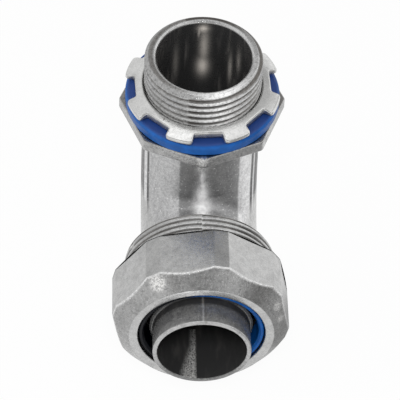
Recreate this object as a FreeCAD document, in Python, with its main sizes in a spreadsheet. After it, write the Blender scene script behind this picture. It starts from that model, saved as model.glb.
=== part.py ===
import FreeCAD, Part
import math
import os

import Sketcher

# Right-angle connector for one inch liquidtight conduit, in millimetres.
# The hub points up along +Z and screws into a knockout from below.
# The gland points forward along -Y and takes the conduit.
# The origin is the centre of the flange face that meets the wall of the box.
# Stations along the gland are measured forward from the hub axis.

SIZES = {
    # Hub: its radius is at the crest of the male thread
    "hub_radius": 16.7,
    "hub_length": 17.4,
    "hub_tip_bevel": 1.1,
    "hub_wall": 3.3,
    "mouth_bevel": 0.7,
    # Hub thread: eleven and a half turns to the inch, from above the flange
    "hub_pitch": 2.209,
    "hub_thread_depth": 1.05,
    "hub_groove_half": 0.685,
    "hub_root_half": 0.11,
    "hub_groove_start": 1.105,
    # Flange: an octagon with one corner to the front, wider than the seal
    "flange_margin": 1.8,
    "flange_thickness": 3.7,
    "flange_corner_round": 1.0,
    "flange_edge_round": 0.45,
    # Elbow: a drafted leg, from the flange face to the bend, and the bend
    "leg_wall": 2.9,
    "leg_draft": 0.8,
    "leg_length": 23.7,
    "leg_root_round": 1.4,
    "bend_inside": 2.9,
    # Barrel: the threaded end of the casting under the gland nut
    "shoulder_step": 4.8,
    "shoulder_setback": 4.3,
    "shoulder_round": 2.2,
    "barrel_length": 19.7,
    "barrel_end_bevel": 0.8,
    "barrel_wall": 3.5,
    "socket_depth": 10.0,
    "socket_bevel": 0.5,
    # Barrel thread: fourteen turns to the inch, from behind the barrel
    "barrel_pitch": 1.814,
    "barrel_thread_depth": 0.8,
    "barrel_groove_half": 0.56,
    "barrel_root_half": 0.09,
    "barrel_groove_lead": 0.9,
    # How far the thread's cutter stands clear of the crest
    "thread_overcut": 0.25,
    # Running clearance of every threaded or sliding pair
    "thread_clearance": 0.05,
    # Sealing ring between the flange and the locknut
    "seal_width": 5.3,
    "seal_thickness": 3.6,
    "seal_top_round": 1.3,
    "seal_base_round": 0.5,
    # Locknut: a dished disc with eight lugs
    "lock_reach": 5.6,
    "lock_crown_rise": 0.85,
    "lock_crown_round": 0.5,
    "lock_collar_width": 1.5,
    "lock_plate_gap": 0.75,
    "lock_plate_thickness": 1.6,
    "lug_length": 1.8,
    "lug_sag": 0.45,
    "lug_round": 0.6,
    "lug_corner_round": 0.7,
    "notch_depth": 3.1,
    "notch_floor_width": 7.9,
    "notch_mouth_width": 10.2,
    "notch_overrun": 1.1,
    "lock_turn": 3.2,
    # Gland nut: an octagon with its corners cut back and a coned front
    "nut_overlap": 10.4,
    "nut_corner_reach": 4.6,
    "nut_corner_cut": 2.4,
    "nut_corner_round": 0.8,
    "nut_turn": 11.5,
    "nut_cone_length": 5.8,
    "nut_face_width": 2.6,
    "nut_face_round": 0.6,
    "nut_lip_length": 2.2,
    "nut_lip_round": 0.6,
    "nut_thread_runout": 1.2,
    "nut_cavity_step": 1.5,
    "nut_cavity_length": 1.6,
    "nut_taper_rise": 2.2,
    "nut_taper_length": 2.8,
    "nut_back_bevel": 0.7,
    # Gland ring: the tapered ring that grips the conduit
    "grip_wall": 1.5,
    "grip_play": 0.3,
    "grip_nose_recess": 0.8,
    "grip_nose_round": 0.45,
    "grip_bore_bevel": 0.6,
    # Ferrule: the tube that the conduit slides over
    "ferrule_play": 0.3,
    "ferrule_wall": 1.2,
    "ferrule_cup_recess": 2.5,
    "conduit_room": 2.05,
    "ferrule_band_step": 0.8,
    "ferrule_band_reach": 4.9,
    "ferrule_band_bevel": 0.6,
    "ferrule_tube_wall": 1.3,
    "ferrule_reach": 13.9,
    "ferrule_lip_round": 0.45,
}

# Radii and stations that follow from the sizes, each a sum of names
SUMS = {
    "bore_radius": "hub_radius - hub_wall",
    "seal_radius": "hub_radius + seal_width",
    "flange_corner_radius": "seal_radius + flange_margin",
    "leg_top_radius": "bore_radius + leg_wall",
    "leg_low_radius": "leg_top_radius + leg_draft",
    "bend_radius": "leg_low_radius + bend_inside",
    "gland_drop": "bend_radius + leg_length",
    "barrel_radius": "leg_low_radius + shoulder_step",
    "barrel_back": "bend_radius + shoulder_setback",
    "barrel_mouth": "barrel_back + barrel_length",
    "socket_radius": "barrel_radius - barrel_wall",
    "socket_floor": "barrel_mouth - socket_depth",
    "female_hub_radius": "hub_radius + thread_clearance",
    "lock_lug_radius": "hub_radius + lock_reach",
    "lock_cone_radius": "lock_lug_radius - lug_length",
    "lock_plate_top": "lock_plate_gap + lock_plate_thickness",
    "lock_crown_height": "lock_plate_top + lock_crown_rise",
    "notch_floor_radius": "lock_lug_radius - notch_depth",
    "notch_mouth_radius": "lock_lug_radius + notch_overrun",
    "female_barrel_radius": "barrel_radius + thread_clearance",
    "nut_corner_radius": "barrel_radius + nut_corner_reach",
    "nut_back": "barrel_mouth - nut_overlap",
    "nut_thread_end": "barrel_mouth + nut_thread_runout",
    "nut_cavity_radius": "barrel_radius - nut_cavity_step",
    "nut_cavity_front": "nut_thread_end + nut_cavity_length",
    "nut_mouth_radius": "nut_cavity_radius - nut_taper_rise",
    "nut_lip_back": "nut_cavity_front + nut_taper_length",
    "nut_front": "nut_lip_back + nut_lip_length",
    "nut_face_radius": "nut_mouth_radius + nut_face_width",
    "nut_cone_back": "nut_front - nut_cone_length",
    "grip_nose_radius": "nut_mouth_radius - grip_play",
    "grip_bore_radius": "grip_nose_radius - grip_wall",
    "grip_nose_front": "nut_front - grip_nose_recess",
    "ferrule_cup_radius": "socket_radius - ferrule_play",
    "ferrule_cup_front": "barrel_mouth - ferrule_cup_recess",
    "ferrule_band_radius": "ferrule_cup_radius - ferrule_wall - conduit_room",
    "ferrule_band_front": "barrel_mouth + ferrule_band_reach",
    "ferrule_tube_radius": "ferrule_band_radius - ferrule_band_step",
    "ferrule_inner_radius": "ferrule_tube_radius - ferrule_tube_wall",
    "ferrule_lip": "barrel_mouth + ferrule_reach",
}

LUGS = 8
SHEET = "Sizes"


def count_names(formula, sign=1, counts=None):
    """Count how often a sum adds or takes away each of the sizes."""
    if counts is None:
        counts = {}
    here = sign
    for word in formula.split():
        if word == "+":
            here = sign
        elif word == "-":
            here = -sign
        elif word in SUMS:
            count_names(SUMS[word], here, counts)
            here = sign
        else:
            counts[word] = counts.get(word, 0) + here
            here = sign
    return counts


def value_of(formula):
    """Return the number that a sum of named sizes gives."""
    total = 0.0
    for name, count in count_names(formula).items():
        total = total + count * SIZES[name]
    return total


def bound(formula):
    """Return a sum of named sizes as an expression on the sheet."""
    words = []
    for name, count in count_names(formula).items():
        if count:
            words.append(str(count) + " * " + SHEET + "." + name)
    return " + ".join(words)


def make_sheet(doc):
    """Write every driving size into the sheet, one named cell a row."""
    sheet = doc.addObject("Spreadsheet::Sheet", SHEET)
    for row, name in enumerate(SIZES, start=1):
        cell = "B" + str(row)
        sheet.set("A" + str(row), name)
        sheet.set(cell, str(SIZES[name]))
        sheet.setAlias(cell, name)
    doc.recompute()
    return sheet


def make_body(doc, name):
    """Add an empty body whose label names its file."""
    body = doc.addObject("PartDesign::Body", name)
    body.Label = name
    return body


def origin_feature(body, role):
    """Return the plane or axis of the body's own origin with this role."""
    for feature in body.Origin.OriginFeatures:
        if feature.Role == role:
            return feature
    raise RuntimeError("no origin feature " + role)


def make_sketch(body, name, plane):
    """Add a sketch to the body on one of its origin planes."""
    sketch = body.newObject("Sketcher::SketchObject", name)
    sketch.AttachmentSupport = (origin_feature(body, plane), [""])
    sketch.MapMode = "FlatFace"
    return sketch


def place_vertex(sketch, line, column, row, flip):
    """Hold the start of a line at a station and a radius from the axis."""
    for kind, formula, flipped in (("DistanceX", column, flip), ("DistanceY", row, False)):
        if formula == "":
            axis = -2 if kind == "DistanceX" else -1
            sketch.addConstraint(Sketcher.Constraint("PointOnObject", line, 1, axis))
            continue
        number = value_of(formula)
        if flipped:
            rule = Sketcher.Constraint(kind, line, 1, -1, 1, number)
        else:
            rule = Sketcher.Constraint(kind, -1, 1, line, 1, number)
        index = sketch.addConstraint(rule)
        sketch.setExpression("Constraints[" + str(index) + "]", bound(formula))


def draw_outline(sketch, corners, flip=False):
    """Draw a closed outline of straight lines through the given corners.

    Each corner is a pair of formulas, along the sketch's first and second
    axis. An empty formula puts the corner on the other axis.
    """
    points = []
    for column, row in corners:
        along = value_of(column) if column else 0.0
        across = value_of(row) if row else 0.0
        if flip:
            along = -along
        points.append(FreeCAD.Vector(along, across, 0))
    count = len(points)
    for index in range(count):
        segment = Part.LineSegment(points[index], points[(index + 1) % count])
        sketch.addGeometry(segment, False)
    for index in range(count):
        following = (index + 1) % count
        sketch.addConstraint(Sketcher.Constraint("Coincident", index, 2, following, 1))
    for index, (column, row) in enumerate(corners):
        place_vertex(sketch, index, column, row, flip)


def draw_polygon(sketch, sides, radius):
    """Draw a regular polygon with one corner on the sketch's second axis."""
    size = value_of(radius)
    points = []
    for index in range(sides):
        angle = math.pi / 2 + 2 * math.pi * index / sides
        points.append(FreeCAD.Vector(size * math.cos(angle), size * math.sin(angle), 0))
    for index in range(sides):
        segment = Part.LineSegment(points[index], points[(index + 1) % sides])
        sketch.addGeometry(segment, False)
    circle = Part.Circle(FreeCAD.Vector(0, 0, 0), FreeCAD.Vector(0, 0, 1), size)
    rim = sketch.addGeometry(circle, True)
    sketch.addConstraint(Sketcher.Constraint("Coincident", rim, 3, -1, 1))
    for index in range(sides):
        following = (index + 1) % sides
        sketch.addConstraint(Sketcher.Constraint("Coincident", index, 2, following, 1))
        sketch.addConstraint(Sketcher.Constraint("PointOnObject", index, 1, rim))
    for index in range(1, sides):
        sketch.addConstraint(Sketcher.Constraint("Equal", 0, index))
    sketch.addConstraint(Sketcher.Constraint("PointOnObject", 0, 1, -2))
    index = sketch.addConstraint(Sketcher.Constraint("Radius", rim, size))
    sketch.setExpression("Constraints[" + str(index) + "]", bound(radius))


def revolve(body, sketch, axis, name, cut=False, angle=360.0, backwards=False):
    """Turn a sketch about one of its own axes, adding or cutting."""
    kind = "PartDesign::Groove" if cut else "PartDesign::Revolution"
    feature = body.newObject(kind, name)
    feature.Profile = sketch
    feature.ReferenceAxis = (sketch, [axis])
    feature.Angle = angle
    feature.Reversed = backwards
    sketch.Visibility = False
    return feature


def round_edges(body, base, edges, size, name):
    """Round the named edges of a feature by one of the sizes."""
    feature = body.newObject("PartDesign::Fillet", name)
    feature.Base = (base, edges)
    feature.Radius = SIZES[size]
    feature.setExpression("Radius", SHEET + "." + size)
    return feature


def cut_edges(body, base, edges, size, name):
    """Cut the named edges of a feature back by one of the sizes."""
    feature = body.newObject("PartDesign::Chamfer", name)
    feature.Base = (base, edges)
    feature.Size = SIZES[size]
    feature.setExpression("Size", SHEET + "." + size)
    return feature


def straight_edges(shape, axis, low, high):
    """Name the straight edges along an axis whose ends lie in a radius band."""
    names = []
    for index, edge in enumerate(shape.Edges, start=1):
        if edge.Curve.TypeId != "Part::GeomLine" or len(edge.Vertexes) < 2:
            continue
        start = edge.Vertexes[0].Point
        end = edge.Vertexes[1].Point
        run = (end - start).normalize()
        radius = math.hypot(start.x, start.y)
        if abs(run.dot(axis)) > 0.999 and low < radius < high:
            names.append("Edge" + str(index))
    return names


def round_edge_at(shape, centre, radius):
    """Name the circular edges with this centre and radius."""
    names = []
    for index, edge in enumerate(shape.Edges, start=1):
        if edge.Curve.TypeId != "Part::GeomCircle":
            continue
        near = (edge.Curve.Center - centre).Length < 0.01
        if near and abs(edge.Curve.Radius - radius) < 0.01:
            names.append("Edge" + str(index))
    return names


def rim_edges(shape, height):
    """Name the straight and curved edges that lie flat at one height."""
    names = []
    for index, edge in enumerate(shape.Edges, start=1):
        box = edge.BoundBox
        if abs(box.ZMin - height) < 0.001 and abs(box.ZMax - height) < 0.001:
            names.append("Edge" + str(index))
    return names


def make_casting(doc):
    """Build the elbow casting: hub, flange, bent leg and threaded barrel."""
    body = make_body(doc, "elbow_body")

    # Flange: the octagon that stops the hub against the box
    plate = make_sketch(body, "FlangeOutline", "XY_Plane")
    draw_polygon(plate, 8, "flange_corner_radius")
    flange = body.newObject("PartDesign::Pad", "Flange")
    flange.Profile = plate
    flange.Length = SIZES["flange_thickness"]
    flange.setExpression("Length", bound("flange_thickness"))
    flange.Reversed = True
    doc.recompute()
    upright = FreeCAD.Vector(0, 0, 1)
    reach = value_of("flange_corner_radius")
    corners = straight_edges(flange.Shape, upright, reach - 0.1, reach + 0.1)
    rounded = round_edges(body, flange, corners, "flange_corner_round", "FlangeCorners")
    doc.recompute()
    rims = rim_edges(rounded.Shape, 0.0)
    rims = rims + rim_edges(rounded.Shape, -SIZES["flange_thickness"])
    round_edges(body, rounded, rims, "flange_edge_round", "FlangeRims")

    # Hub and leg: one turned outline from the start of the bend to the mouth
    profile = make_sketch(body, "HubOutline", "XZ_Plane")
    profile.setExpression("AttachmentOffset.Base.y", bound("bend_radius - gland_drop"))
    leg = "gland_drop - bend_radius"
    draw_outline(profile, [
        ("", ""),
        ("leg_low_radius", ""),
        ("leg_top_radius", leg + " - flange_thickness"),
        ("leg_top_radius", leg),
        ("hub_radius", leg),
        ("hub_radius", leg + " + hub_length - hub_tip_bevel"),
        ("hub_radius - hub_tip_bevel", leg + " + hub_length"),
        ("", leg + " + hub_length"),
    ])
    revolve(body, profile, "V_Axis", "HubAndLeg")

    # Bend: a quarter turn of the leg's round section
    ring = make_sketch(body, "BendSection", "XY_Plane")
    ring.setExpression("AttachmentOffset.Base.y", bound("- bend_radius"))
    ring.setExpression("AttachmentOffset.Base.z", bound("bend_radius - gland_drop"))
    draw_circle(ring, "bend_radius", "leg_low_radius")
    revolve(body, ring, "H_Axis", "Bend", False, 90.0, True)

    # Barrel: turned about the gland axis, with its shoulder behind the thread
    barrel = make_sketch(body, "BarrelOutline", "YZ_Plane")
    barrel.setExpression("AttachmentOffset.Base.y", bound("- gland_drop"))
    crest = "barrel_radius - barrel_end_bevel"
    draw_outline(barrel, [
        ("bend_radius", ""),
        ("bend_radius", "leg_low_radius"),
        ("barrel_back", "leg_low_radius"),
        ("barrel_back", crest),
        ("barrel_back + barrel_end_bevel", "barrel_radius"),
        ("barrel_mouth - barrel_end_bevel", "barrel_radius"),
        ("barrel_mouth", crest),
        ("barrel_mouth", ""),
    ], True)
    solid = revolve(body, barrel, "H_Axis", "Barrel")
    doc.recompute()

    # Cast rounds under the flange and at the foot of the shoulder
    root = FreeCAD.Vector(0, 0, -SIZES["flange_thickness"])
    edges = round_edge_at(solid.Shape, root, value_of("leg_top_radius"))
    rounded = round_edges(body, solid, edges, "leg_root_round", "LegRoot")
    doc.recompute()
    root = FreeCAD.Vector(0, value_of("- barrel_back"), value_of("- gland_drop"))
    edges = round_edge_at(rounded.Shape, root, value_of("leg_low_radius"))
    round_edges(body, rounded, edges, "shoulder_round", "ShoulderRoot")

    # Wireway: the bore down the hub, round the bend and into the socket
    bore = make_sketch(body, "HubBore", "XZ_Plane")
    bore.setExpression("AttachmentOffset.Base.y", bound("bend_radius - gland_drop"))
    draw_outline(bore, [
        ("", ""),
        ("bore_radius", ""),
        ("bore_radius", leg + " + hub_length - mouth_bevel"),
        ("bore_radius + mouth_bevel", leg + " + hub_length"),
        ("", leg + " + hub_length"),
    ])
    revolve(body, bore, "V_Axis", "HubWay", True)
    turn = make_sketch(body, "BendBore", "XY_Plane")
    turn.setExpression("AttachmentOffset.Base.y", bound("- bend_radius"))
    turn.setExpression("AttachmentOffset.Base.z", bound("bend_radius - gland_drop"))
    draw_circle(turn, "bend_radius", "bore_radius")
    revolve(body, turn, "H_Axis", "BendWay", True, 90.0, True)
    socket = make_sketch(body, "SocketOutline", "YZ_Plane")
    socket.setExpression("AttachmentOffset.Base.y", bound("- gland_drop"))
    draw_outline(socket, [
        ("bend_radius", ""),
        ("bend_radius", "bore_radius"),
        ("socket_floor", "bore_radius"),
        ("socket_floor", "socket_radius"),
        ("barrel_mouth - socket_bevel", "socket_radius"),
        ("barrel_mouth", "socket_radius + socket_bevel"),
        ("barrel_mouth", ""),
    ], True)
    revolve(body, socket, "H_Axis", "Socket", True)
    cut_hub_thread(body)
    cut_barrel_thread(body)
    doc.recompute()
    return body


def cut_thread(body, sketch, axis, pitch, length, name, backwards):
    """Run a groove's section along a right-hand screw line."""
    feature = body.newObject("PartDesign::SubtractiveHelix", name)
    feature.Profile = sketch
    feature.ReferenceAxis = (sketch, [axis])
    feature.Mode = "pitch-height-angle"
    feature.Pitch = value_of(pitch)
    feature.Height = value_of(length)
    feature.setExpression("Pitch", bound(pitch))
    feature.setExpression("Height", bound(length))
    feature.LeftHanded = False
    feature.Reversed = backwards
    sketch.Visibility = False
    return feature


def cut_hub_thread(body):
    """Cut the hub's thread, out past the mouth."""
    groove = make_sketch(body, "HubGroove", "XZ_Plane")
    root = "hub_radius - hub_thread_depth"
    clear = "hub_radius + thread_overcut"
    draw_outline(groove, [
        (root, "hub_groove_start - hub_root_half"),
        ("hub_radius", "hub_groove_start - hub_groove_half"),
        (clear, "hub_groove_start - hub_groove_half"),
        (clear, "hub_groove_start + hub_groove_half"),
        ("hub_radius", "hub_groove_start + hub_groove_half"),
        (root, "hub_groove_start + hub_root_half"),
    ])
    cut_thread(body, groove, "V_Axis", "hub_pitch", "hub_length", "HubThread", False)


def cut_barrel_thread(body):
    """Cut the barrel's thread, from behind the shoulder out past the mouth."""
    groove = make_sketch(body, "BarrelGroove", "YZ_Plane")
    groove.setExpression("AttachmentOffset.Base.y", bound("- gland_drop"))
    start = "barrel_back - barrel_groove_lead"
    root = "barrel_radius - barrel_thread_depth"
    clear = "barrel_radius + thread_overcut"
    draw_outline(groove, [
        (start + " - barrel_root_half", root),
        (start + " - barrel_groove_half", "barrel_radius"),
        (start + " - barrel_groove_half", clear),
        (start + " + barrel_groove_half", clear),
        (start + " + barrel_groove_half", "barrel_radius"),
        (start + " + barrel_root_half", root),
    ], True)
    length = "barrel_length + barrel_groove_lead + barrel_pitch"
    cut_thread(body, groove, "H_Axis", "barrel_pitch", length, "BarrelThread", True)


def draw_circle(sketch, height, radius):
    """Draw a circle whose centre is up the sketch's second axis."""
    centre = FreeCAD.Vector(0, value_of(height), 0)
    circle = Part.Circle(centre, FreeCAD.Vector(0, 0, 1), value_of(radius))
    sketch.addGeometry(circle, False)
    sketch.addConstraint(Sketcher.Constraint("PointOnObject", 0, 3, -2))
    index = sketch.addConstraint(Sketcher.Constraint("DistanceY", -1, 1, 0, 3, value_of(height)))
    sketch.setExpression("Constraints[" + str(index) + "]", bound(height))
    index = sketch.addConstraint(Sketcher.Constraint("Radius", 0, value_of(radius)))
    sketch.setExpression("Constraints[" + str(index) + "]", bound(radius))


def make_seal(doc):
    """Build the sealing ring that lies on the flange."""
    body = make_body(doc, "sealing_ring")
    profile = make_sketch(body, "SealOutline", "XZ_Plane")
    draw_outline(profile, [
        ("female_hub_radius", ""),
        ("seal_radius", ""),
        ("seal_radius", "seal_thickness"),
        ("female_hub_radius", "seal_thickness"),
    ])
    ring = revolve(body, profile, "V_Axis", "Ring")
    doc.recompute()
    top = FreeCAD.Vector(0, 0, SIZES["seal_thickness"])
    edges = round_edge_at(ring.Shape, top, value_of("seal_radius"))
    rounded = round_edges(body, ring, edges, "seal_top_round", "TopRound")
    doc.recompute()
    edges = round_edge_at(rounded.Shape, FreeCAD.Vector(0, 0, 0), value_of("seal_radius"))
    round_edges(body, rounded, edges, "seal_base_round", "BaseRound")
    doc.recompute()
    return body


def make_locknut(doc):
    """Build the dished locknut and cut its eight notches."""
    body = make_body(doc, "locknut")
    body.Placement = FreeCAD.Placement(
        FreeCAD.Vector(0, 0, 0), FreeCAD.Rotation(FreeCAD.Vector(0, 0, 1), SIZES["lock_turn"]))
    body.setExpression("Placement.Rotation.Angle", bound("lock_turn"))
    body.setExpression("Placement.Base.z", bound("seal_thickness"))

    # Dish: a collar on the hub, a coned plate and lugs that droop a little
    profile = make_sketch(body, "DishOutline", "XZ_Plane")
    collar = "female_hub_radius + lock_collar_width"
    draw_outline(profile, [
        ("female_hub_radius", ""),
        (collar, ""),
        (collar + " + lock_plate_gap", "lock_plate_gap"),
        ("lock_lug_radius", "lock_plate_gap"),
        ("lock_lug_radius", "lock_plate_top - lug_sag - lug_round"),
        ("lock_lug_radius - lug_round", "lock_plate_top - lug_sag"),
        ("lock_cone_radius", "lock_plate_top"),
        ("female_hub_radius + lock_crown_round", "lock_crown_height"),
        ("female_hub_radius", "lock_crown_height - lock_crown_round"),
    ])
    dish = revolve(body, profile, "V_Axis", "Dish")
    doc.recompute()
    # Notch: wider at its mouth, repeated round the disc
    notch = make_sketch(body, "NotchOutline", "XY_Plane")
    draw_notch(notch)
    cut = body.newObject("PartDesign::Pocket", "Notch")
    cut.Profile = notch
    cut.Type = "ThroughAll"
    cut.Midplane = True
    notch.Visibility = False
    doc.recompute()
    ring = body.newObject("PartDesign::PolarPattern", "Notches")
    ring.Originals = [cut]
    ring.Axis = (origin_feature(body, "Z_Axis"), [""])
    ring.Angle = 360.0
    ring.Occurrences = LUGS
    body.Tip = ring
    doc.recompute()
    reach = value_of("lock_lug_radius")
    edges = straight_edges(ring.Shape, FreeCAD.Vector(0, 0, 1), reach - 0.1, reach + 0.1)
    round_edges(body, ring, edges, "lug_corner_round", "LugCorners")
    doc.recompute()
    return body


def draw_notch(sketch):
    """Draw one notch to the front, with its mouth past the lugs."""
    floor = value_of("notch_floor_radius")
    mouth = value_of("notch_mouth_radius")
    half_floor = value_of("notch_floor_width") / 2
    half_mouth = value_of("notch_mouth_width") / 2
    points = [
        FreeCAD.Vector(-half_floor, -floor, 0),
        FreeCAD.Vector(half_floor, -floor, 0),
        FreeCAD.Vector(half_mouth, -mouth, 0),
        FreeCAD.Vector(-half_mouth, -mouth, 0),
    ]
    for index in range(4):
        segment = Part.LineSegment(points[index], points[(index + 1) % 4])
        sketch.addGeometry(segment, False)
    for index in range(4):
        rule = Sketcher.Constraint("Coincident", index, 2, (index + 1) % 4, 1)
        sketch.addConstraint(rule)
    sketch.addConstraint(Sketcher.Constraint("Symmetric", 0, 1, 0, 2, -2))
    sketch.addConstraint(Sketcher.Constraint("Symmetric", 2, 1, 2, 2, -2))
    sizes = (
        (Sketcher.Constraint("DistanceX", 0, 1, 0, 2, 2 * half_floor), "notch_floor_width"),
        (Sketcher.Constraint("DistanceX", 2, 2, 2, 1, 2 * half_mouth), "notch_mouth_width"),
        (Sketcher.Constraint("DistanceY", 0, 1, -1, 1, floor), "notch_floor_radius"),
        (Sketcher.Constraint("DistanceY", 2, 1, -1, 1, mouth), "notch_mouth_radius"),
    )
    for rule, formula in sizes:
        index = sketch.addConstraint(rule)
        sketch.setExpression("Constraints[" + str(index) + "]", bound(formula))


def lay_on_gland(body):
    """Lay a body that is built along its own Z on the gland axis."""
    body.Placement = FreeCAD.Placement(
        FreeCAD.Vector(0, 0, value_of("- gland_drop")),
        FreeCAD.Rotation(FreeCAD.Vector(1, 0, 0), 90))
    body.setExpression("Placement.Base.z", bound("- gland_drop"))


def make_gland_nut(doc):
    """Build the octagon gland nut with its coned front and threaded inside."""
    body = make_body(doc, "gland_nut")
    lay_on_gland(body)

    # Octagon: turned so that one corner is a little right of the top
    outline = make_sketch(body, "NutOutline", "XY_Plane")
    outline.AttachmentOffset = FreeCAD.Placement(
        FreeCAD.Vector(0, 0, value_of("nut_back")),
        FreeCAD.Rotation(FreeCAD.Vector(0, 0, 1), -SIZES["nut_turn"]))
    outline.setExpression("AttachmentOffset.Base.z", bound("nut_back"))
    outline.setExpression("AttachmentOffset.Rotation.Angle", bound("- nut_turn"))
    draw_polygon(outline, 8, "nut_corner_radius")
    block = body.newObject("PartDesign::Pad", "NutBlock")
    block.Profile = outline
    block.Length = value_of("nut_front - nut_back")
    block.setExpression("Length", bound("nut_front - nut_back"))
    outline.Visibility = False
    doc.recompute()
    along = FreeCAD.Vector(0, 0, 1)
    reach = value_of("nut_corner_radius")
    edges = straight_edges(block.Shape, along, 0.9 * reach, 1.1 * reach)
    cut = cut_edges(body, block, edges, "nut_corner_cut", "NutCorners")
    doc.recompute()
    edges = straight_edges(cut.Shape, along, 0.9 * reach, 1.1 * reach)
    round_edges(body, cut, edges, "nut_corner_round", "NutCornerRounds")

    # Front cone and back bevel, turned outside the octagon
    cone = make_sketch(body, "ConeOutline", "XZ_Plane")
    outside = "nut_corner_radius + nut_corner_cut"
    draw_outline(cone, [
        ("nut_face_radius", "nut_front"),
        ("nut_corner_radius", "nut_cone_back"),
        (outside, "nut_cone_back"),
        (outside, "nut_front"),
    ])
    coned = revolve(body, cone, "V_Axis", "NutCone", True)
    doc.recompute()
    face = FreeCAD.Vector(0, 0, value_of("nut_front"))
    edges = round_edge_at(coned.Shape, face, value_of("nut_face_radius"))
    round_edges(body, coned, edges, "nut_face_round", "NutFaceRound")

    # Inside: thread, cavity for the gland ring, taper and lip
    inside = make_sketch(body, "NutInside", "XZ_Plane")
    draw_outline(inside, [
        ("", "nut_back"),
        ("female_barrel_radius + nut_back_bevel", "nut_back"),
        ("female_barrel_radius", "nut_back + nut_back_bevel"),
        ("female_barrel_radius", "nut_thread_end"),
        ("nut_cavity_radius", "nut_thread_end"),
        ("nut_cavity_radius", "nut_cavity_front"),
        ("nut_mouth_radius", "nut_lip_back"),
        ("nut_mouth_radius", "nut_front"),
        ("", "nut_front"),
    ])
    hollow = revolve(body, inside, "V_Axis", "NutHollow", True)
    doc.recompute()
    edges = round_edge_at(hollow.Shape, face, value_of("nut_mouth_radius"))
    round_edges(body, hollow, edges, "nut_lip_round", "NutLipRound")
    doc.recompute()
    return body


def make_gland_ring(doc):
    """Build the tapered gland ring between the barrel and the nut."""
    body = make_body(doc, "gland_ring")
    lay_on_gland(body)
    profile = make_sketch(body, "RingOutline", "XZ_Plane")
    draw_outline(profile, [
        ("grip_bore_radius", "barrel_mouth"),
        ("nut_cavity_radius - grip_play", "barrel_mouth"),
        ("nut_cavity_radius - grip_play", "nut_cavity_front - grip_play"),
        ("grip_nose_radius", "nut_lip_back - grip_play"),
        ("grip_nose_radius", "grip_nose_front"),
        ("grip_bore_radius + grip_bore_bevel", "grip_nose_front"),
        ("grip_bore_radius", "grip_nose_front - grip_bore_bevel"),
    ])
    ring = revolve(body, profile, "V_Axis", "Ring")
    doc.recompute()
    nose = FreeCAD.Vector(0, 0, value_of("grip_nose_front"))
    edges = round_edge_at(ring.Shape, nose, value_of("grip_nose_radius"))
    round_edges(body, ring, edges, "grip_nose_round", "NoseRound")
    doc.recompute()
    return body


def make_ferrule(doc):
    """Build the ferrule: a tube with a stepped band, a flange and a cup."""
    body = make_body(doc, "ferrule")
    lay_on_gland(body)
    profile = make_sketch(body, "FerruleOutline", "XZ_Plane")
    floor = "socket_floor + ferrule_wall"
    draw_outline(profile, [
        ("ferrule_inner_radius", "socket_floor"),
        ("ferrule_cup_radius", "socket_floor"),
        ("ferrule_cup_radius", "ferrule_cup_front"),
        ("ferrule_cup_radius - ferrule_wall", "ferrule_cup_front"),
        ("ferrule_cup_radius - ferrule_wall", floor),
        ("ferrule_band_radius", floor),
        ("ferrule_band_radius", "ferrule_band_front - ferrule_band_bevel"),
        ("ferrule_band_radius - ferrule_band_bevel", "ferrule_band_front"),
        ("ferrule_tube_radius", "ferrule_band_front"),
        ("ferrule_tube_radius", "ferrule_lip"),
        ("ferrule_inner_radius", "ferrule_lip"),
    ])
    tube = revolve(body, profile, "V_Axis", "Tube")
    doc.recompute()
    lip = FreeCAD.Vector(0, 0, value_of("ferrule_lip"))
    edges = round_edge_at(tube.Shape, lip, value_of("ferrule_tube_radius"))
    edges = edges + round_edge_at(tube.Shape, lip, value_of("ferrule_inner_radius"))
    round_edges(body, tube, edges, "ferrule_lip_round", "LipRound")
    doc.recompute()
    return body


def check_document(doc, bodies):
    """Stop if any object failed or any piece isn't one valid solid."""
    for thing in doc.Objects:
        if "Invalid" in thing.State or "Error" in thing.State:
            raise RuntimeError(thing.Name + " failed: " + str(thing.State))
    for body in bodies:
        shape = body.Shape
        if shape.isNull() or not shape.isValid() or len(shape.Solids) != 1:
            raise RuntimeError(body.Label + " isn't one valid solid")


def main():
    """Build every piece and write one file for each."""
    doc = FreeCAD.newDocument("Connector")
    make_sheet(doc)
    bodies = [
        make_casting(doc),
        make_seal(doc),
        make_locknut(doc),
        make_gland_nut(doc),
        make_gland_ring(doc),
        make_ferrule(doc),
    ]
    doc.recompute()
    check_document(doc, bodies)
    os.makedirs("parts", exist_ok=True)
    for body in bodies:
        body.Shape.exportStep(os.path.join("parts", body.Label + ".step"))
        box = body.Shape.optimalBoundingBox()
        print(body.Label, "volume", round(body.Shape.Volume, 1), "faces", len(body.Shape.Faces),
              "x", round(box.XMin, 2), round(box.XMax, 2),
              "y", round(box.YMin, 2), round(box.YMax, 2),
              "z", round(box.ZMin, 2), round(box.ZMax, 2))


main()
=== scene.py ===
import math

import bpy
import numpy as np
from mathutils import Matrix, Vector, noise


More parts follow.
